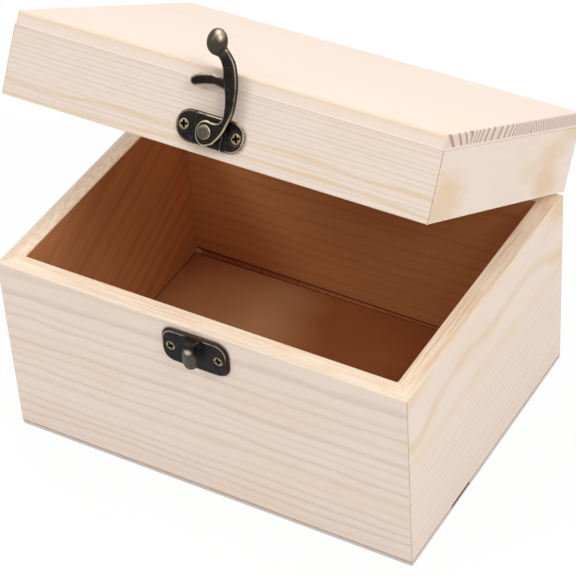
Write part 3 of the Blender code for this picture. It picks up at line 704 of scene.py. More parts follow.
print("cuts:", len(base_cuts) + len(lid_cuts))

# %% [markdown]
# A wall's rim is its top and looks up, a rail's rim is its underside and looks down. The fade
# says how far below the edge the rim's colour starts on the face, and how strong it gets there.
# On the rails it makes a thin painted highlight along the lid's lower edge.

# %% Dress the walls and the rails
RIM_LOOKS = {"front": (0.3, 0), "right": (0.48, 0), "back": (0.3, 0), "left": (0.35, 0.45)}
RAIL_RIM_LOOK = (0.2, 0)
WALL_FADE = (2.2, 0.35)
# A thin painted highlight along the lid's lower edge.
RAIL_HIGHLIGHT_FADE = (0.9, 0.8)
EDGE_SLACK = 0.1 * MM

for side in sides:
    base_look = dict(base_cuts[side], rim=(rim_height / MM, 1, WALL_FADE, *RIM_LOOKS[side]))
    lid_look = dict(lid_cuts[side], rim=(lid_foot / MM, -1, RAIL_HIGHLIGHT_FADE, *RAIL_RIM_LOOK))
    in_base, in_lid = (0, rim_height - EDGE_SLACK), (lid_foot + EDGE_SLACK, lid_top)
    dress(f"{side}_wall", pine_board(f"pine_{side}_wall", base_face[side], Matrix(), base_look, in_base))
    rail_pine = pine_board(f"pine_lid_{side}_rail", lid_face[side], open_lid, lid_look, in_lid)
    dress(f"lid_{side}_rail", rail_pine)
print("boards dressed:", 2 * len(sides))

# %% [markdown]
# The lid's board is one wide piece. From above it is nearly plain, but its two sawn ends
# show the rings cut straight through: widely spaced and slanting at the front, closing up to
# fine upright lines at the back, with a small arch in between. One curve counts the rings
# along the end, and a second one says which way they lean. Along its front edge the board has
# painted shade: it is a little darker and more tan than above.

# %% Dress the lid's board
END_PINK = paint(230, 208, 194)
END_LINE = paint(170, 138, 116)
FRONT_SHADE = (0.93, 0.93, 0.93, 1)
BOARD_MIDDLE = 3.0
BOARD_CUT = cut(9, (-400, 60), 7.0, 0.4, 1.0, 0.01, 0.06, 0.12, level=1.02)
RINGS_ALONG_END = ((-74, 0.2), (-52, 3), (-37, 7), (-5, 12.4), (15, 20.4), (41, 30.8), (74, 49))
MOST_RINGS = 50.0
LEAN_ALONG_END = (
    (-74, 1.0), (-54, 0.9), (-48, 0.0), (-40, -0.45), (-4, -0.55), (12, -0.7), (16, 0.0), (20, 0.8),
    (40, 0.5), (48, 0.0), (74, 0.0),
)


def end_colour(place):
    """The sawn end: one dark line for each ring, on pink."""
    spot = split(place)
    lean = draw_path(spot["Y"], LEAN_ALONG_END, -1.0, 1.0)
    moved = calc("MULTIPLY_ADD", calc("ADD", spot["Z"], BOARD_MIDDLE), lean, spot["Y"])
    moved = calc("MULTIPLY_ADD", about_zero(noise(place, 0.12, 2.0)), 2.0, moved)
    part_of_year = calc("FRACT", draw_path(moved, RINGS_ALONG_END, 0.0, MOST_RINGS))
    line = calc("MULTIPLY", ramp(part_of_year, 0.50, 0.82), ramp(part_of_year, 1.0, 0.88))
    return blend_colour(calc("MULTIPLY", line, 0.95), END_PINK, END_LINE)


def lid_board_pine():
    """The lid's board, with painted shade along its front edge and the rings cut through at both of its ends.
    """
    inside = (lid_board_foot - 1 * MM, lid_board_foot + EDGE_SLACK)
    material = pine_board("pine_lid_board", top_face, open_lid, BOARD_CUT, inside)
    tree = material.node_tree
    shader = tree.nodes["Principled BSDF"]
    place = place_in(tree, top_face)
    spot = split(place)
    colour = shader.inputs["Base Color"].links[0].from_socket
    # Painted shade: darker and more tan along the rounded front edge.
    on_front = ramp(spot["Y"], -half_depth / MM + 0.6, -half_depth / MM + 0.1)
    colour = blend_colour(on_front, colour, FRONT_SHADE, "MULTIPLY")
    from_arris = hypot(spot["Z"], calc("ADD", spot["Y"], half_depth / MM))
    colour = blend_colour(ramp(from_arris, 3.2, 0.6, 0.0, 0.5), colour, TAN_PINE)
    at_end = ramp(calc("ABSOLUTE", spot["X"]), half_width / MM - 0.75, half_width / MM - 0.45)
    tree.links.new(blend_colour(at_end, colour, end_colour(place)), shader.inputs["Base Color"])
    return material


dress("lid_top_panel", lid_board_pine())
print("lid board dressed")

# %% [markdown]
# ## The bottom panel
#
# The bottom is a sheet of thin plywood: two pale faces glued to a core whose grain runs
# the other way. Its cut edge shows as a slim greyish strip under the walls. Its upper face
# lies inside the box and is brown painted shade like the walls, with one wide soft patch of
# painted light on the left. The patch has a middle and a reach, in millimetres.

# %% Dress the bottom panel
PLY_FACE = paint(228, 211, 192)
PLY_EDGE = paint(224, 214, 206)
PLY_CORE = paint(206, 193, 183)
FLOOR_LIGHT_PATCH = paint(226, 178, 128)
FLOOR_SHADE_BROWN = paint(160, 93, 47)
LIGHT_PATCH_MIDDLE = (-58, 28)
LIGHT_PATCH_REACH = (58, 74)
LIGHT_PATCH_CLOUD = 0.35
PANEL_CORE = ((0.60, 0.75), (1.40, 1.25))
FLOOR_MARGIN = 0.3
ABOVE_PANEL = 10 * MM


def plywood():
    """Pale faces on a greyer core, and the upper side in painted shade with a patch of painted light."""
    material, tree, shader = bare_material("bottom_plywood")
    place = place_in(tree, Matrix())
    where = split(place)
    fibre = use_group(fibres, {"Place": place, "Per mm": 0.9, "Seed": 12.0})
    core = calc("MULTIPLY", *(ramp(where["Z"], *heights) for heights in PANEL_CORE))
    edge = blend_colour(core, PLY_EDGE, PLY_CORE)
    face = blend_colour(ramp(fibre["Cloud"], 0.35, 0.65), PLY_FACE, PALE_PINE)
    past_side = calc("SUBTRACT", calc("ABSOLUTE", where["X"]), half_width / MM - 0.5)
    past_end = calc("SUBTRACT", calc("ABSOLUTE", where["Y"]), half_depth / MM - 0.5)
    at_edge = ramp(calc("MAXIMUM", past_side, past_end), 0.0, 0.2)
    colour = blend_colour(at_edge, face, edge)
    # Painted light and shade: the upper side is shade brown, lighter in a soft patch on the left.
    light_patch = ramp(from_centre(where, LIGHT_PATCH_MIDDLE, LIGHT_PATCH_REACH), 1.0, 0.2)
    light_patch = calc("MULTIPLY_ADD", about_zero(fibre["Cloud"]), LIGHT_PATCH_CLOUD, light_patch)
    within = is_inside(place, panel_top - FLOOR_MARGIN * MM, ABOVE_PANEL, FLOOR_MARGIN)
    colour = blend_colour(within, colour, blend_colour(light_patch, FLOOR_SHADE_BROWN, FLOOR_LIGHT_PATCH))
    # Painted shade in the slot under the right wall.
    colour = blend_colour(slot_shade_mask(where, *SLOT_SHADE_BOX), colour, SLOT_SHADE_BROWN)
    finish_surface(shader, colour, ramp(fibre["Streaks"], 0.3, 0.7, 0.62, 0.74), fibre["Streaks"])
    return material


dress("bottom_panel", plywood())
print("bottom panel dressed")

# %% [markdown]
# ## Glue in the joints
#
# The boards are glued, and between the solids there is a slit of 0.3 mm for the glue. Light
# would shine through those slits, so each one is filled with a sheet that ends just short of
# the face. Down the upright corners it shows as one thin grey brown line. On the rims and
# along the lid it was sanded with the wood and has taken its colour, so the material asks how
# high a point is.

# %% Write the recipe for glue
BASE_GLUE = paint(184, 164, 144)
LID_GLUE = paint(158, 122, 94)
FOOT_GLUE = paint(190, 175, 161)
GLUE_SLACK = 0.01 * MM
SANDED = 0.3 * MM
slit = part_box("front_wall")[0][2] - panel_top


def glue_material(name, box_frame, glue, foot, head, inside):
    """Dried glue. Foot and head are the colours below and above a height: (colour, height)."""
    material, tree, shader = bare_material(name)
    place = place_in(tree, box_frame)
    height = split(place)["Z"]
    spots = noise(place, 0.5, 2.0)
    colour = blend_colour(ramp(spots, 0.35, 0.65, 0.0, 0.35), glue, TAN_PINE)
    for (other, level), side in ((foot, -1), (head, 1)):
        past = ramp(height, level / MM - 0.02 * side, level / MM + 0.02 * side)
        colour = blend_colour(past, colour, other)
    # Inside the box the glue takes the brown painted shade of the walls.
    colour = blend_colour(is_inside(place, *inside, margin=1), colour, INNER_SHADE_BROWN)
    finish_surface(shader, colour, ramp(spots, 0.3, 0.7, 0.5, 0.7), specular=0.3)
    return material


base_glue = glue_material(
    "glue_in_base", Matrix(), BASE_GLUE, (FOOT_GLUE, panel_top + slit), (RIM_CREAM_AND_LIGHT, rim_height - SANDED),
    (0, rim_height - SANDED),
)
lid_glue = glue_material(
    "glue_in_lid", open_lid, LID_GLUE, (RIM_CREAM_AND_LIGHT, lid_foot + SANDED), (PALE_PINE, lid_rail_top),
    (lid_foot + SANDED, lid_top),
)
print(f"slits are {slit / MM:.2f} mm wide")

# %% [markdown]
# The sheets follow the joints: one upright in each mitred corner, and a flat ring where the
# boards meet the panel. On the right of the base the ring has a gap, because the glue missed
# a finger's breadth there, and a thin dark slot shows. The ring in the lid follows the eased
# lower edge of its board.

# %% Write what makes a sheet of glue
MISSED_DEPTH = 3 * MM
outer_x, outer_y = half_width - GLUE_SLACK, half_depth - GLUE_SLACK
inner_x, inner_y = half_width - wall, half_depth - wall


def mesh_of(name, bm):
    """Turn a finished bmesh into a mesh."""
    mesh = bpy.data.meshes.new(name)
    bm.to_mesh(mesh)
    bm.free()
    return mesh


def add_piece(name, mesh, material, body):
    """Put a finished mesh in the scene and let it ride on a body."""
    mesh.materials.clear()
    mesh.materials.append(material)
    piece = put_in_scene(name, mesh)
    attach(piece, body)
    return piece


def add_glue(name, bm, material, body, matrix=Matrix()):
    bmesh.ops.recalc_face_normals(bm, faces=bm.faces)
    mesh = mesh_of(name, bm)
    mesh.transform(matrix)
    add_piece(name, mesh, material, body)


def close_band(bm, here, there):
    """Faces between two outlines that have the same number of points."""
    for index in range(len(here)):
        after = (index + 1) % len(here)
        bm.faces.new((here[index], there[index], there[after], here[after]))


def add_prism(bm, outline, low, high):
    """A column over an outline in X and Y."""
    face = bm.faces.new([bm.verts.new((x, y, low)) for x, y in outline])
    grown = bmesh.ops.extrude_face_region(bm, geom=[face])["geom"]
    moved = [item for item in grown if isinstance(item, bmesh.types.BMVert)]
    bmesh.ops.translate(bm, vec=(0, 0, high - low), verts=moved)


def add_ring(bm, section):
    """A closed frame round the box. Section is its outline as (distance in from the face, height)."""
    corners = [(-1, -1), (1, -1), (1, 1), (-1, 1)]
    loops = [
        [bm.verts.new((sx * (half_width - inset), sy * (half_depth - inset), z)) for inset, z in section]
        for sx, sy in corners
    ]
    for here, there in zip(loops, loops[1:] + loops[:1]):
        close_band(bm, here, there)


def add_foot_ring(bm, low, high):
    """The base's flat ring in four strips. The right one steps back where the glue was missed."""
    behind = outer_x - MISSED_DEPTH
    start, end = (place * MM for place in MISSED_GLUE)
    strips = [
        [(-outer_x, s * outer_y), (outer_x, s * outer_y), (inner_x, s * inner_y), (-inner_x, s * inner_y)]
        for s in (-1, 1)
    ]
    strips.append([(-outer_x, -outer_y), (-outer_x, outer_y), (-inner_x, inner_y), (-inner_x, -inner_y)])
    strips.append([
        (outer_x, -outer_y), (outer_x, start), (behind, start), (behind, end), (outer_x, end),
        (outer_x, outer_y), (inner_x, inner_y), (inner_x, -inner_y),
    ])
    for strip in strips:
        add_prism(bm, strip, low, high)


def add_mitres(bm, low, high):
    """An upright sheet in each mitred corner."""
    lean = (slit / 2 - GLUE_SLACK) / math.sqrt(2)
    for sx, sy in ((-1, -1), (-1, 1), (1, -1), (1, 1)):
        outline = (
            (inner_x + lean, inner_y - lean), (outer_x, outer_y - 2 * lean), (outer_x, outer_y),
            (outer_x - 2 * lean, outer_y), (inner_x - lean, inner_y + lean),
        )
        add_prism(bm, [(sx * x, sy * y) for x, y in outline], low, high)


print("sheets end", round(GLUE_SLACK / MM, 2), "mm short of the faces")

# %% [markdown]
# With these, the two pieces of glue in the joints are a few lines: the upright sheets and the
# ring of the base, then those of the lid, which are turned open with it.

# %% Fill the joints
BOARD_EASE = 0.7 * MM
EASE_END = 0.97 * BOARD_EASE
EASE_MIDDLE = 0.24 * BOARD_EASE

bm = bmesh.new()
add_mitres(bm, panel_top + slit, rim_height - GLUE_SLACK)
add_foot_ring(bm, panel_top + GLUE_SLACK, panel_top + slit - GLUE_SLACK)
add_glue("base_glue", bm, base_glue, "box")
bm = bmesh.new()
add_mitres(bm, lid_foot + GLUE_SLACK, lid_rail_top)
ring_foot, ring_top = lid_rail_top + GLUE_SLACK, lid_board_foot - GLUE_SLACK
add_ring(bm, [
    (GLUE_SLACK, ring_foot), (GLUE_SLACK, lid_board_foot + EASE_END),
    (EASE_MIDDLE, lid_board_foot + EASE_MIDDLE), (BOARD_EASE, ring_top), (wall, ring_top), (wall, ring_foot),
])
add_glue("lid_glue", bm, lid_glue, "lid", open_lid)
print("joints filled")

# %% [markdown]
# Inside, some glue was squeezed out along the foot of the walls and dried as a slim bead.
# It is widest in the back left corner, where it has a pale dab. Its brown is painted shade, as
# inside the box, and darker painted shade lines its creases. The bead is a swept triangle with
# a hollow face.

# %% Lay the bead of glue inside
BEAD_WIDE = 2.4 * MM
BEAD_SLIM = 1.1 * MM
BEAD_SIDE = 0.6 * MM
BEAD_SECTION = ((0, 0), (1, 0), (0.42, 0.30), (0.16, 0.62), (0, 1))
BEAD_SHADE_BROWNS = (paint(180, 114, 70), paint(162, 98, 58))
BEAD_CREASE_SHADE = paint(112, 62, 34)
DAB_PALE = paint(236, 196, 158)
room_x, room_y = inner_x - GLUE_SLACK, inner_y - GLUE_SLACK


def bead_colour():
    """Glue in the brown painted shade of the inside, with darker painted shade where it meets the wood."""
    material, tree, shader = bare_material("glue_bead")
    place = place_in(tree, Matrix())
    where = split(place)
    spots = ramp(noise(place, 0.4, 2.0), 0.35, 0.65)
    colour = blend_colour(spots, *BEAD_SHADE_BROWNS)
    colour = blend_colour(ramp(where["X"], -86.5, -89.5, 0.0, 0.8), colour, DAB_PALE)
    # Painted shade in the creases where the bead meets the floor and the wall.
    at_foot = ramp(where["Z"], panel_top / MM + 0.45, panel_top / MM + 0.1)
    at_wall = ramp(where["Y"], room_y / MM - 0.5, room_y / MM - 0.2)
    colour = blend_colour(calc("MAXIMUM", at_foot, at_wall), colour, BEAD_CREASE_SHADE)
    finish_surface(shader, colour, ramp(spots, 0.0, 1.0, 0.6, 0.7), specular=0.25)
    return material


def add_bead(bm, start, end, inward, legs):
    """A bead between two corners of the floor. Legs are its sizes at the start and at the end."""
    ends = []
    for (x, y), leg in zip((start, end), legs):
        corner = Vector((x, y, panel_top + GLUE_SLACK))
        out, up = Vector((*inward, 0)) * leg, Vector((0, 0, leg))
        ends.append([bm.verts.new(corner + a * out + b * up) for a, b in BEAD_SECTION])
    bm.faces.new(ends[0])
    bm.faces.new(ends[1][::-1])
    close_band(bm, *ends)


bead = bmesh.new()
side_legs = (BEAD_SIDE, BEAD_SIDE)
add_bead(bead, (-room_x, room_y), (room_x, room_y), (0, -1), (BEAD_WIDE, BEAD_SLIM))
add_bead(bead, (-room_x, -room_y), (-room_x, room_y - BEAD_WIDE), (1, 0), side_legs)
add_bead(bead, (-room_x + BEAD_SIDE, -room_y), (room_x - BEAD_SIDE, -room_y), (0, 1), side_legs)
add_bead(bead, (room_x, -room_y), (room_x, room_y - BEAD_SLIM), (-1, 0), side_legs)
add_glue("glue_bead", bead, bead_colour(), "box")
print(f"bead is {BEAD_WIDE / MM:.1f} to {BEAD_SLIM / MM:.1f} mm wide")

# %% [markdown]
# ## Worn bronze
#
# The hardware is stamped and cast, coated nearly black, and then rubbed in a drum so that
# every edge and every raised place shows pale metal again. To know where an edge is, each
# mesh carries a number at every point: how far its neighbours lie below its own tangent
# plane. On an edge that number is high, in a flat it is nothing and in a hollow it is below
# nothing. A second number marks what fingers rub, and on the knob and the tongue a painted
# highlight as well, and a third where the coating is browner. The group turns the first two
# into masks. Hollows keep the grime.

# %% Build the group for worn bronze
SCRATCH_SHARE = 0.07
SCRATCH_STRETCH = (0.5, 4.5, 1.0)

worn, given, out = new_group(
    "worn_bronze",
    {"Place": None, "Edge": 0.0, "Rub and highlight": 0.0, "Edge from": 0.05, "Edge to": 0.13, "Seed": 0.0},
    ("Wear and highlight", "Grime", "Roughness", "Relief", "Tint"),
)
moved = add_node(worn, "ShaderNodeVectorMath", {0: given["Place"], 1: given["Seed"]}, operation="ADD")
cloud = noise(moved.outputs[0], 0.28, 3.0, 0.6)
grit = noise(moved.outputs[0], 1.9, 3.0, 0.65)
drawn_out = stretch(moved.outputs[0], SCRATCH_STRETCH, 0.0)
scratch = ramp(noise(drawn_out, 1.0, 2.0, 0.7), 0.62, 0.74)
soft_edge = ramp(given["Edge"], given["Edge from"], given["Edge to"])
broken = calc("MULTIPLY", soft_edge, ramp(cloud, 0.28, 0.55, 0.45, 1.0))
rubbed = calc("MULTIPLY", given["Rub and highlight"], ramp(grit, 0.25, 0.6, 0.8, 1.0))
wear_and_highlight = calc("MAXIMUM", calc("MAXIMUM", broken, rubbed), calc("MULTIPLY", scratch, SCRATCH_SHARE))
for name, value in {
    "Wear and highlight": wear_and_highlight,
    "Grime": ramp(given["Edge"], -0.02, -0.10),
    "Roughness": calc("MULTIPLY_ADD", wear_and_highlight, -0.12, ramp(grit, 0.3, 0.7, 0.36, 0.50)),
    "Relief": calc("MULTIPLY_ADD", cloud, 0.5, grit),
    "Tint": ramp(cloud, 0.35, 0.65),
}.items():
    worn.links.new(value, out[name])
print("worn_bronze has", len(worn.nodes), "nodes")

# %% [markdown]
# The plates have gone blue black, the hook brown black. The metal below is a pale greyish
# brass. Each finish is one material, made by the same function with its own three colours:
# two of the coating, which change into each other in patches, and the bare metal. The last
# pair says from which edge number on the coating is worn, and where it is gone.

# %% Write the recipe for bronze
BROWN_COATING = paint(54, 41, 33)
GRIME = paint(26, 22, 20)
MARKS = ("edge", "rub", "brown")


def bronze(name, dark, tint, pale, seed, worn_edge):
    """Dark coating over pale metal, worn through where the mesh says so."""
    material, tree, shader = bare_material(name)
    edge, rub, brown = (
        add_node(tree, "ShaderNodeAttribute", attribute_name=key).outputs["Fac"] for key in MARKS
    )
    look = use_group(worn, {
        "Place": place_in(tree, Matrix()), "Edge": edge, "Rub and highlight": rub, "Seed": seed,
        "Edge from": worn_edge[0], "Edge to": worn_edge[1],
    })
    colour = blend_colour(look["Tint"], paint(*dark), paint(*tint))
    colour = blend_colour(brown, colour, BROWN_COATING)
    colour = blend_colour(look["Wear and highlight"], colour, paint(*pale))
    colour = blend_colour(look["Grime"], colour, GRIME)
    finish_surface(shader, colour, look["Roughness"], look["Relief"], strength=0.35, depth=0.05)
    shader.inputs["Metallic"].default_value = 1.0
    return material


plate_bronze = bronze("plate_bronze", (32, 34, 37), (46, 41, 37), (224, 206, 180), 3.0, (0.03, 0.10))
hook_bronze = bronze("hook_bronze", (32, 29, 28), (44, 38, 34), (204, 186, 157), 11.0, (0.02, 0.09))
rivet_bronze = bronze("rivet_bronze", (82, 74, 65), (102, 92, 80), (212, 198, 172), 17.0, (0.03, 0.10))
screw_bronze = bronze("screw_bronze", (34, 26, 18), (46, 36, 26), (154, 140, 110), 23.0, (0.9, 1.0))
hinge_bronze = bronze("hinge_bronze", (48, 44, 40), (74, 64, 54), (196, 184, 160), 31.0, (0.05, 0.13))
print("finishes so far:", len(bpy.data.materials))

# %% [markdown]
# ## Castings from solids
#
# The solids have crisp edges. Real castings and stampings have none: everything has been
# rounded in the drum. A bevel would stumble over the many short edges, so each solid is
# rebuilt as an even net of small squares (a voxel remesh), and every point of that net is
# then drawn towards the middle of its neighbours a few times. Work is done in millimetres
# along the axes of the face that the piece sits on.

# %% Rebuild a solid as an even net
SAME_PLACE = 0.001


def remeshed(mesh, step):
    """Rebuild a mesh as an even net of squares with sides of one step."""
    helper = put_in_scene("helper", mesh)
    remesh = helper.modifiers.new("even", "REMESH")
    remesh.mode = "VOXEL"
    remesh.voxel_size = step
    graph = bpy.context.evaluated_depsgraph_get()
    made = bpy.data.meshes.new_from_object(helper.evaluated_get(graph))
    bpy.data.objects.remove(helper)
    return made


def even_net(node, face, step):
    """A solid's surface as small squares, in millimetres along a face."""
    mesh = frame["nodes"][node].data.copy()
    mesh.transform(Matrix.Scale(1 / MM, 4) @ face.inverted())
    bm = bmesh.new()
    bm.from_mesh(mesh)
    bmesh.ops.remove_doubles(bm, verts=bm.verts, dist=SAME_PLACE)
    bm.to_mesh(mesh)
    bm.free()
    return remeshed(mesh, step)


def read_rows(items, key, width, kind=float):
    """One row of numbers for each point, normal or edge of a mesh."""
    values = np.empty(width * len(items), kind)
    items.foreach_get(key, values)
    return values.reshape(-1, width)


def get_points(mesh):
    return read_rows(mesh.vertices, "co", 3)


def get_ends(mesh):
    """The first and the second point of every edge."""
    return read_rows(mesh.edges, "vertices", 2, int).T


print("net helpers ready")

# %% [markdown]
# Rounding and wear both ask the same of a point: what do its neighbours say? Each edge of the
# net brings a number to both of its ends, and a point takes the mean of what its edges bring.

# %% Round a net and mark its wear


def mean_of_edges(to_first, to_second, ends, size):
    """Every point's mean of the numbers that its edges bring to it."""
    first, second = ends
    total = np.bincount(first, to_first, size) + np.bincount(second, to_second, size)
    return total / (np.bincount(first, minlength=size) + np.bincount(second, minlength=size))


def neighbour_mean(values, ends):
    """The mean of every point's neighbours, for one number per point."""
    return mean_of_edges(values[ends[1]], values[ends[0]], ends, len(values))


def relax(points, ends, rounds, share=0.5):
    """Draw every point towards the middle of its neighbours. Share can differ from point to point."""
    for _ in range(rounds):
        middle = np.column_stack([neighbour_mean(points[:, axis], ends) for axis in range(3)])
        points = points + np.reshape(share, (-1, 1)) * (middle - points)
    return points


def set_points(mesh, points):
    mesh.vertices.foreach_set("co", points.ravel())
    mesh.update()


def mark_wear(mesh, rub=None, calm=None, brown=None):
    """Write the numbers that the bronze reads at each point. Calm lowers the edge number in places."""
    points, normals = get_points(mesh), read_rows(mesh.vertex_normals, "vector", 3)
    ends = get_ends(mesh)
    first, second = ends
    step = points[second] - points[first]
    step /= np.maximum(np.linalg.norm(step, axis=1), 1e-9)[:, None]
    below_first = -(normals[first] * step).sum(axis=1)
    below_second = (normals[second] * step).sum(axis=1)
    edge = mean_of_edges(below_first, below_second, ends, len(points))
    edge = 0.5 * edge + 0.5 * neighbour_mean(edge, ends)
    if calm:
        edge = edge * calm(points)
    rubbed, browned = (rule(points, normals) if rule else np.zeros(len(points)) for rule in (rub, brown))
    for name, values in zip(MARKS, (edge, rubbed, browned)):
        mesh.attributes.new(name, "FLOAT", "POINT").data.foreach_set("value", values.astype(np.float32))
    mesh.polygons.foreach_set("use_smooth", [True] * len(mesh.polygons))
    return edge


def smooth_step(value, low, high):
    """0 below low, 1 above high, and smooth between."""
    share = np.clip((value - low) / (high - low), 0, 1)
    return share * share * (3 - 2 * share)


print("every point carries", MARKS)

# %% [markdown]
# A casting is then made in one go: rebuild the solid, move what the real piece has stouter or
# rounder, draw the net smooth, mark its wear and put it in the solid's place.

# %% Write what turns a solid into a casting


def casting(node, body, slot_name, material, face, step=0.3, rounds=3, shape=None, melt=None, **wear_rules):
    """Replace a solid by a casting of it. Shape moves points first, melt smooths some of them more."""
    mesh = even_net(node, face, step)
    points, ends = get_points(mesh), get_ends(mesh)
    if shape:
        points = shape(points, read_rows(mesh.vertex_normals, "vector", 3))
    points = relax(points, ends, rounds)
    if melt:
        where, more_rounds = melt
        points = relax(points, ends, more_rounds, 0.5 * where(points))
    set_points(mesh, points)
    edge = mark_wear(mesh, **wear_rules)
    mesh.transform(face @ Matrix.Scale(MM, 4))
    piece = add_piece(f"cast_{node}", mesh, material, body)
    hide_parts(node)
    print(f"{piece.name}: {len(mesh.polygons)} squares, edge number up to {edge.max():.2f}")


# %% [markdown]
# The hook is one casting: the eye round the rivet, a curved arm, a prong that goes behind
# the catch, and a knob to hold it by. The knob grows out of the arm, so that place is melted
# more than the rest. Its crown is rubbed by fingers and carries a painted highlight. All
# heights and places here are in millimetres on the lid's front.

# %% Cast the hook
KNOB_MIDDLE = Vector((-2.55, span("latch_hook", lid_face["front"])[1].y / MM - 5.6))
# The normal at which the knob's painted highlight is brightest.
KNOB_HIGHLIGHT_NORMAL = np.array((0.40, 0.75, 0.53))
KNOB_RADII = (4.4, 7.5)
NECK = KNOB_MIDDLE + Vector((0.3, -5.8))
NECK_RADII = (1.5, 5.5)
ARM_START = (15, 21)
ARM_SWELL = 0.4
PRONG_SWELL = 0.35
PRONG_END = (-3, 1)
PRONG_TOP = (KNOB_MIDDLE.y - 9, KNOB_MIDDLE.y - 6)
EYE_TO_ARM = (12, 24)
PRONG_TO_ARM = (-1, 2)
ARM_CALM = 0.45
PRONG_CALM = 0.12
FLANK_RUB = 0.09
CROWN_HIGHLIGHT = 0.60


def near(points, middle, radii):
    """1 within the first radius of a place in X and Y, 0 beyond the second."""
    return 1 - smooth_step(np.linalg.norm(points[:, :2] - middle, axis=1), *radii)


def on_knob(points):
    return near(points, KNOB_MIDDLE, KNOB_RADII)


def near_neck(points):
    return near(points, NECK, NECK_RADII)


def swell_arm(points, normals):
    """The real arm is a little stouter than the solid: push its flanks out."""
    x, y = points[:, 0], points[:, 1]
    on_arm = smooth_step(y, *ARM_START) * (1 - on_knob(points))
    on_prong = (1 - smooth_step(x, *PRONG_END)) * (1 - smooth_step(y, *PRONG_TOP))
    points = points.copy()
    points[:, :2] += ((ARM_SWELL + PRONG_SWELL * on_prong) * on_arm)[:, None] * normals[:, :2]
    return points


def knob_rub(points, normals):
    """The upper side of the knob is rubbed and carries a painted highlight, and its flanks are hardly rubbed.
    """
    return on_knob(points) * (FLANK_RUB + CROWN_HIGHLIGHT * smooth_step(normals @ KNOB_HIGHLIGHT_NORMAL, 0.70, 1.0))


def arm_calm(points):
    """The eye's rim is worn most, the prong and the arm's edges less, and the round knob has no edge."""
    high = smooth_step(points[:, 1], *EYE_TO_ARM)
    arm = smooth_step(points[:, 0], *PRONG_TO_ARM)
    return (1 - (ARM_CALM * arm + PRONG_CALM * (1 - arm)) * high) * (1 - on_knob(points))


casting(
    "latch_hook", "hook", "antique_bronze", hook_bronze, lid_face["front"],
    rounds=4, shape=swell_arm, melt=(near_neck, 50), rub=knob_rub, calm=arm_calm,
)

# %% [markdown]
# The catch is a stamped plate. A tongue was cut out of its upper edge and bent forward and
# down, and its end was pressed round like a finger tip, narrower where it leaves the plate.
# Its coating is blue black on the flat and brown on the sloping rim, and the tongue's shoulder
# has a painted highlight. Below, heights along the tongue count down from its top, and X counts
# from its middle.

# %% Cast the catch plate
TONGUE_HALF = 3.3
TIP_WIDER = 0.16
ROOT_NARROWER = 0.18
TONGUE_CROWN = 1.3
# Where the painted highlight sits on the tongue's shoulder, and how far it reaches.
SHOULDER = (0.3, -4.6)
SHOULDER_REACH = (2.0, 1.5)
SHOULDER_HIGHLIGHT = 0.85
FRONT_PALE = 0.11
catch_top = span("catch_plate", base_face["front"])[1] / MM


def from_top(points):
    """X from the middle, and how far above the catch's top and front a point lies."""
    return points[:, 0], points[:, 1] - catch_top.y, points[:, 2] - catch_top.z


def shape_tongue(points, normals):
    """Widen the tongue's tip, draw in its root and crown its front."""
    x, up, out = from_top(points)
    points = points.copy()
    on_tongue = (np.abs(x) < TONGUE_HALF + 0.3) * smooth_step(points[:, 2], 3.2, 4.2)
    root = smooth_step(up, -7.5, -2.5)
    tip = 1 - smooth_step(up, -9.5, -6.0)
    points[:, 0] *= 1 + (TIP_WIDER * tip - ROOT_NARROWER * root) * on_tongue
    crown = TONGUE_CROWN * smooth_step(out, -2.0, -0.6) * on_tongue
    points[:, 2] -= crown * (points[:, 0] / TONGUE_HALF) ** 2
    return points


def on_tongue_front(points):
    return 0.9 * smooth_step(points[:, 2], 4.4, 6.0) * (np.abs(points[:, 0]) < TONGUE_HALF + 0.6)


def tongue_rub(points, normals):
    """A painted highlight on the tongue's shoulder, and a slightly paler front below it."""
    x, up, out = from_top(points)
    front = smooth_step(out, -2.6, -0.6) * smooth_step(normals[:, 2], 0.2, 0.8)
    below = 1 - smooth_step(up, -7.0, -5.0)
    away = np.hypot((x - SHOULDER[0]) / SHOULDER_REACH[0], (up - SHOULDER[1]) / SHOULDER_REACH[1])
    return front * (FRONT_PALE * below + SHOULDER_HIGHLIGHT * (1 - smooth_step(away, 0.2, 1.2)))


def sloping_rim(points, normals):
    """1 on the plate's sloping rim, 0 on its flat and on the tongue."""
    return (1 - smooth_step(normals[:, 2], 0.86, 0.96)) * (1 - smooth_step(points[:, 2], 3.0, 4.0))


def catch_calm(points):
    """Only the ridge along the plate's upper side shines. Its foot and its lower side are dull."""
    x, up, out = from_top(points)
    foot = 1 - 0.7 * (1 - smooth_step(points[:, 2], 0.9, 1.5))
    lower = 0.55 + 0.45 * smooth_step(up, -11, -5)
    by_tongue = 1 - smooth_step(np.abs(x), TONGUE_HALF + 0.8, TONGUE_HALF + 1.6)
    return foot * lower * (1 - 0.7 * by_tongue * smooth_step(points[:, 1], 85, 88))


casting(
    "catch_plate", "box", "antique_bronze", plate_bronze, base_face["front"],
    shape=shape_tongue, melt=(on_tongue_front, 6), rub=tongue_rub, calm=catch_calm, brown=sloping_rim,
)

# %% [markdown]
# The latch plate, the rivet and the hinges need no shaping, only their rounded and worn
# edges. The hinges lie behind the box, so their net may be coarser.

# %% Cast the latch plate, the rivet and the hinges


def plate_calm(points):
    """The raised middle's own edges lie under the hook and are drawn dull, for less wear and as painted shade
    from the hook. The right end is worn most.
    """
    beside_middle = 1 - smooth_step(np.abs(np.abs(points[:, 0]) - 6.9), 0.8, 1.6)
    return (1 - 0.45 * beside_middle) * (0.8 + 0.25 * smooth_step(points[:, 0], 4, 12))


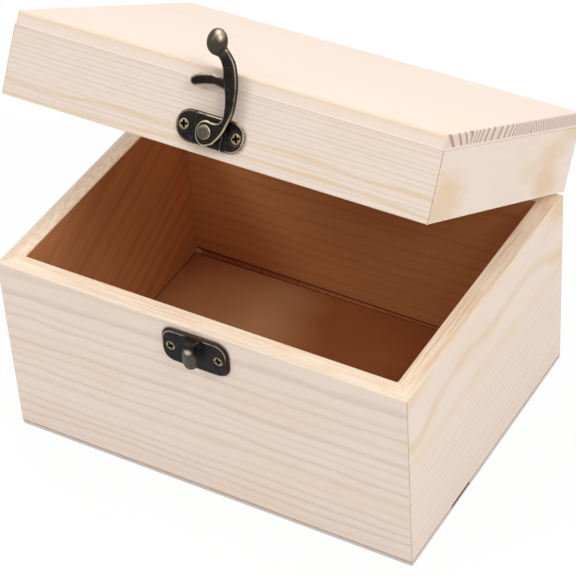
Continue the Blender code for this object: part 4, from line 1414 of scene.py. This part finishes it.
casting("latch_plate", "lid", "antique_bronze", plate_bronze, lid_face["front"], calm=plate_calm)
casting("latch_rivet", "lid", "antique_bronze", rivet_bronze, lid_face["front"], step=0.25, rounds=2)
HINGE_PARTS = {
    "base_leaf": ("box", base_face, 0.4), "lid_leaf": ("lid", lid_face, 0.4), "pin": ("box", base_face, 0.35),
}
for side in ("left", "right"):
    for part, (body, face, step) in HINGE_PARTS.items():
        casting(f"{side}_hinge_{part}", body, "hinge_bronze", hinge_bronze, face["back"], step=step, rounds=2)

# %% [markdown]
# ## Screws
#
# All screws are the same kind: a low dome with a cross pressed into it. The dome is a profile
# spun round its axis, and the cross is cut out of it with a boolean, because a cross that is
# only painted on would stay flat. Sizes are in millimetres.

# %% Shape the head and the cutter
SCREW_RADIUS = 2.55
DOME_HEIGHT = 0.62
DOME_STEPS = 8
SPIN_STEPS = 40
CROSS_REACH = 1.9
CROSS_HALF = 0.56
CROSS_DEPTH = 1.5
CROSS_SCALES = (1.1, 0.62)
CONE_DEPTH = 2.0
CONE_RADIUS = 1.2
RIM_DEPTH = 0.25


def domed_head():
    """A dome on a short cone, spun round Z. Its rim lies at Z 0."""
    bm = bmesh.new()
    angles = [QUARTER * i / DOME_STEPS for i in range(DOME_STEPS + 1)]
    profile = [(SCREW_RADIUS * math.sin(angle), DOME_HEIGHT * math.cos(angle)) for angle in angles]
    profile += [(SCREW_RADIUS, -RIM_DEPTH), (CONE_RADIUS, -CONE_DEPTH), (0, -CONE_DEPTH)]
    ring = [bm.verts.new((x, 0, z)) for x, z in profile]
    wire = [bm.edges.new(pair) for pair in zip(ring, ring[1:])]
    bmesh.ops.spin(bm, geom=ring + wire, axis=(0, 0, 1), cent=(0, 0, 0), angle=4 * QUARTER, steps=SPIN_STEPS)
    bmesh.ops.remove_doubles(bm, verts=bm.verts, dist=SAME_PLACE)
    bmesh.ops.recalc_face_normals(bm, faces=bm.faces)
    return put_in_scene("screw_head", mesh_of("screw_head", bm))


def cross_cutter():
    """A plus shaped wedge, narrower below."""
    bm = bmesh.new()
    ends = []
    for height, scale in zip((DOME_HEIGHT + 0.5, DOME_HEIGHT - CROSS_DEPTH), CROSS_SCALES):
        outline = []
        for turn in range(4):
            for x, y in ((CROSS_HALF, CROSS_HALF), (CROSS_HALF, CROSS_REACH), (-CROSS_HALF, CROSS_REACH)):
                spot = Matrix.Rotation(turn * QUARTER, 2) @ Vector((x, y))
                outline.append(bm.verts.new((spot.x * scale, spot.y * scale, height)))
        ends.append(outline)
    bm.faces.new(ends[0])
    bm.faces.new(ends[1][::-1])
    close_band(bm, *ends)
    bmesh.ops.recalc_face_normals(bm, faces=bm.faces)
    return put_in_scene("cross_cutter", mesh_of("cross_cutter", bm))


print("screw heads are", 2 * SCREW_RADIUS, "mm wide")

# %% [markdown]
# The cut head goes through the same net, rounding and marks as the castings. The cross and the
# outer rim are full of dark coating, and the ring between them is brass. One mesh serves all
# screws.

# %% Cut the cross and mark the brass ring
SCREW_STEP = 0.17
RING_OUTSIDE = (2.1, 2.35)


def screw_ring(points, normals):
    """The brass ring between the cross and the rim."""
    radius = np.hypot(points[:, 0], points[:, 1])
    dome = DOME_HEIGHT * np.sqrt(np.maximum(1 - (radius / SCREW_RADIUS) ** 2, 0))
    sunk = smooth_step(dome - points[:, 2], 0.08, 0.30)
    return (1 - sunk) * (1 - smooth_step(radius, *RING_OUTSIDE)) * smooth_step(normals[:, 2], 0.2, 0.7)


def screw_mesh():
    """The head with the cross cut out of it, rounded and marked."""
    head, cutter = domed_head(), cross_cutter()
    cutting = head.modifiers.new("cross", "BOOLEAN")
    cutting.operation = "DIFFERENCE"
    cutting.object = cutter
    cutting.solver = "EXACT"
    graph = bpy.context.evaluated_depsgraph_get()
    mesh = remeshed(bpy.data.meshes.new_from_object(head.evaluated_get(graph)), SCREW_STEP)
    bpy.data.objects.remove(head)
    bpy.data.objects.remove(cutter)
    set_points(mesh, relax(get_points(mesh), get_ends(mesh), 2))
    mark_wear(mesh, screw_ring)
    return mesh


screw_shape = screw_mesh()
print("screw has", len(screw_shape.polygons), "squares")

# %% [markdown]
# Each screw stands where its solid is: on the middle of it, with the dome's top level with
# the solid's top. It is turned to an angle of its own, as screws are when they are tight. The
# hinge screws are the same shape, three quarters as large.

# %% Drive the screws
SCREW_TURNS = {
    "catch_screw_left": 28, "catch_screw_right": 8, "latch_screw_left": 12, "latch_screw_right": 20,
}
HINGE_SCREW_TURN = 37
HINGE_SCREW_SCALE = 0.75


def drive_screw(node, face, body, turn, scale=1.0):
    """Replace one screw's solid by the shared mesh."""
    low, high = span(node, face)
    middle = (low + high) / 2
    place = Matrix.Translation((middle.x, middle.y, high.z - DOME_HEIGHT * scale * MM))
    mesh = screw_shape.copy()
    mesh.transform(face @ place @ Matrix.Rotation(math.radians(turn), 4, "Z") @ Matrix.Scale(scale * MM, 4))
    piece = add_piece(f"cross_{node}", mesh, screw_bronze, body)
    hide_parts(node)


for node, turn in SCREW_TURNS.items():
    face, body = (base_face, "box") if node.startswith("catch") else (lid_face, "lid")
    drive_screw(node, face["front"], body, turn)
number = 0
for side in ("left", "right"):
    for leaf, face, body in (("base", base_face["back"], "box"), ("lid", lid_face["back"], "lid")):
        for end in ("left", "right"):
            number += 1
            node, turn = f"{side}_hinge_{leaf}_screw_{end}", HINGE_SCREW_TURN * number
            drive_screw(node, face, body, turn, HINGE_SCREW_SCALE)
print("screws driven:", len(SCREW_TURNS) + number)

# %% [markdown]
# ## Light and floor
#
# The photograph is a cut-out on white, lit evenly from large soft boxes. The world gives about
# half of the light. Three lamps shape it: a large one above lights the lid and the rims, a small
# one at the front left gives the hardware its soft shadows and the knob its highlight, and
# one high on the right lifts the right side.

# %% Hang the lamps
LOOKED_AT = Vector((0, 0, 0.1))
SOFT_BOXES = {
    "top_box": ((-0.1, 0.3, 1.5), 1.0, 9.4),
    "front_left_box": ((-0.75, -0.85, 1.15), 0.45, 4.1),
    "high_right_box": ((0.95, -0.35, 1.25), 0.6, 8.1),
}


def soft_box(name, place, size, watts):
    """A large square lamp that looks at the box."""
    data = bpy.data.lights.new(name, "AREA")
    data.shape = "SQUARE"
    data.size = size
    data.energy = watts
    lamp = put_in_scene(name, data)
    lamp.location = place
    lamp.rotation_euler = (Vector(place) - LOOKED_AT).to_track_quat("Z", "Y").to_euler()


for name, (place, size, watts) in SOFT_BOXES.items():
    soft_box(name, place, size, watts)
print("lamps:", list(SOFT_BOXES))

# %% [markdown]
# The white background is painted on for the camera and for mirrored rays alone, so it adds no
# light to the box. The paper under the box is painted white in the same way, but not quite
# fully, so that the box still throws a faint shadow on it.

# %% Paint the world and the paper white
WHITE = (1, 1, 1, 1)
WORLD_LEVEL = 0.51
PAPER_GREY = (0.86, 0.86, 0.86, 1)
PAPER_ROUGHNESS = 0.9
PAPER_GLOW = 0.92
FLOOR_REACH = 3.0


def seen_directly(tree):
    """1 for rays from the camera and for those mirrored or passed on by metal and glass."""
    path = tree.nodes.new("ShaderNodeLightPath").outputs
    seen = calc("MAXIMUM", path["Is Camera Ray"], path["Is Glossy Ray"])
    return calc("MAXIMUM", seen, path["Is Transmission Ray"])


def show_white(tree, kind, lit, output, share=1.0):
    """Show plain white instead of what lights the box, where a ray sees this directly."""
    white = add_node(tree, kind, {"Color": WHITE, "Strength": 1.0})
    seen = calc("MULTIPLY", seen_directly(tree), share)
    choose = add_node(tree, "ShaderNodeMixShader", {0: seen, 1: lit.outputs[0], 2: white.outputs[0]})
    tree.links.new(choose.outputs[0], tree.nodes[output].inputs["Surface"])


world = bpy.data.worlds.new("white_studio")
bpy.context.scene.world = world
world.use_nodes = True
background = world.node_tree.nodes["Background"]
background.inputs["Color"].default_value = WHITE
background.inputs["Strength"].default_value = WORLD_LEVEL
show_white(world.node_tree, "ShaderNodeBackground", background, "World Output")

floor_bm = bmesh.new()
bmesh.ops.create_grid(floor_bm, x_segments=8, y_segments=8, size=FLOOR_REACH)
paper_floor = put_in_scene("paper_floor", mesh_of("paper_floor", floor_bm))
material, tree, shader = bare_material("white_paper")
shader.inputs["Base Color"].default_value = PAPER_GREY
shader.inputs["Roughness"].default_value = PAPER_ROUGHNESS
show_white(tree, "ShaderNodeEmission", shader, "Material Output", PAPER_GLOW)
paper_floor.data.materials.append(material)
bpy.context.scene.view_settings.view_transform = "Standard"
print("paper reaches", FLOOR_REACH, "m to each side")
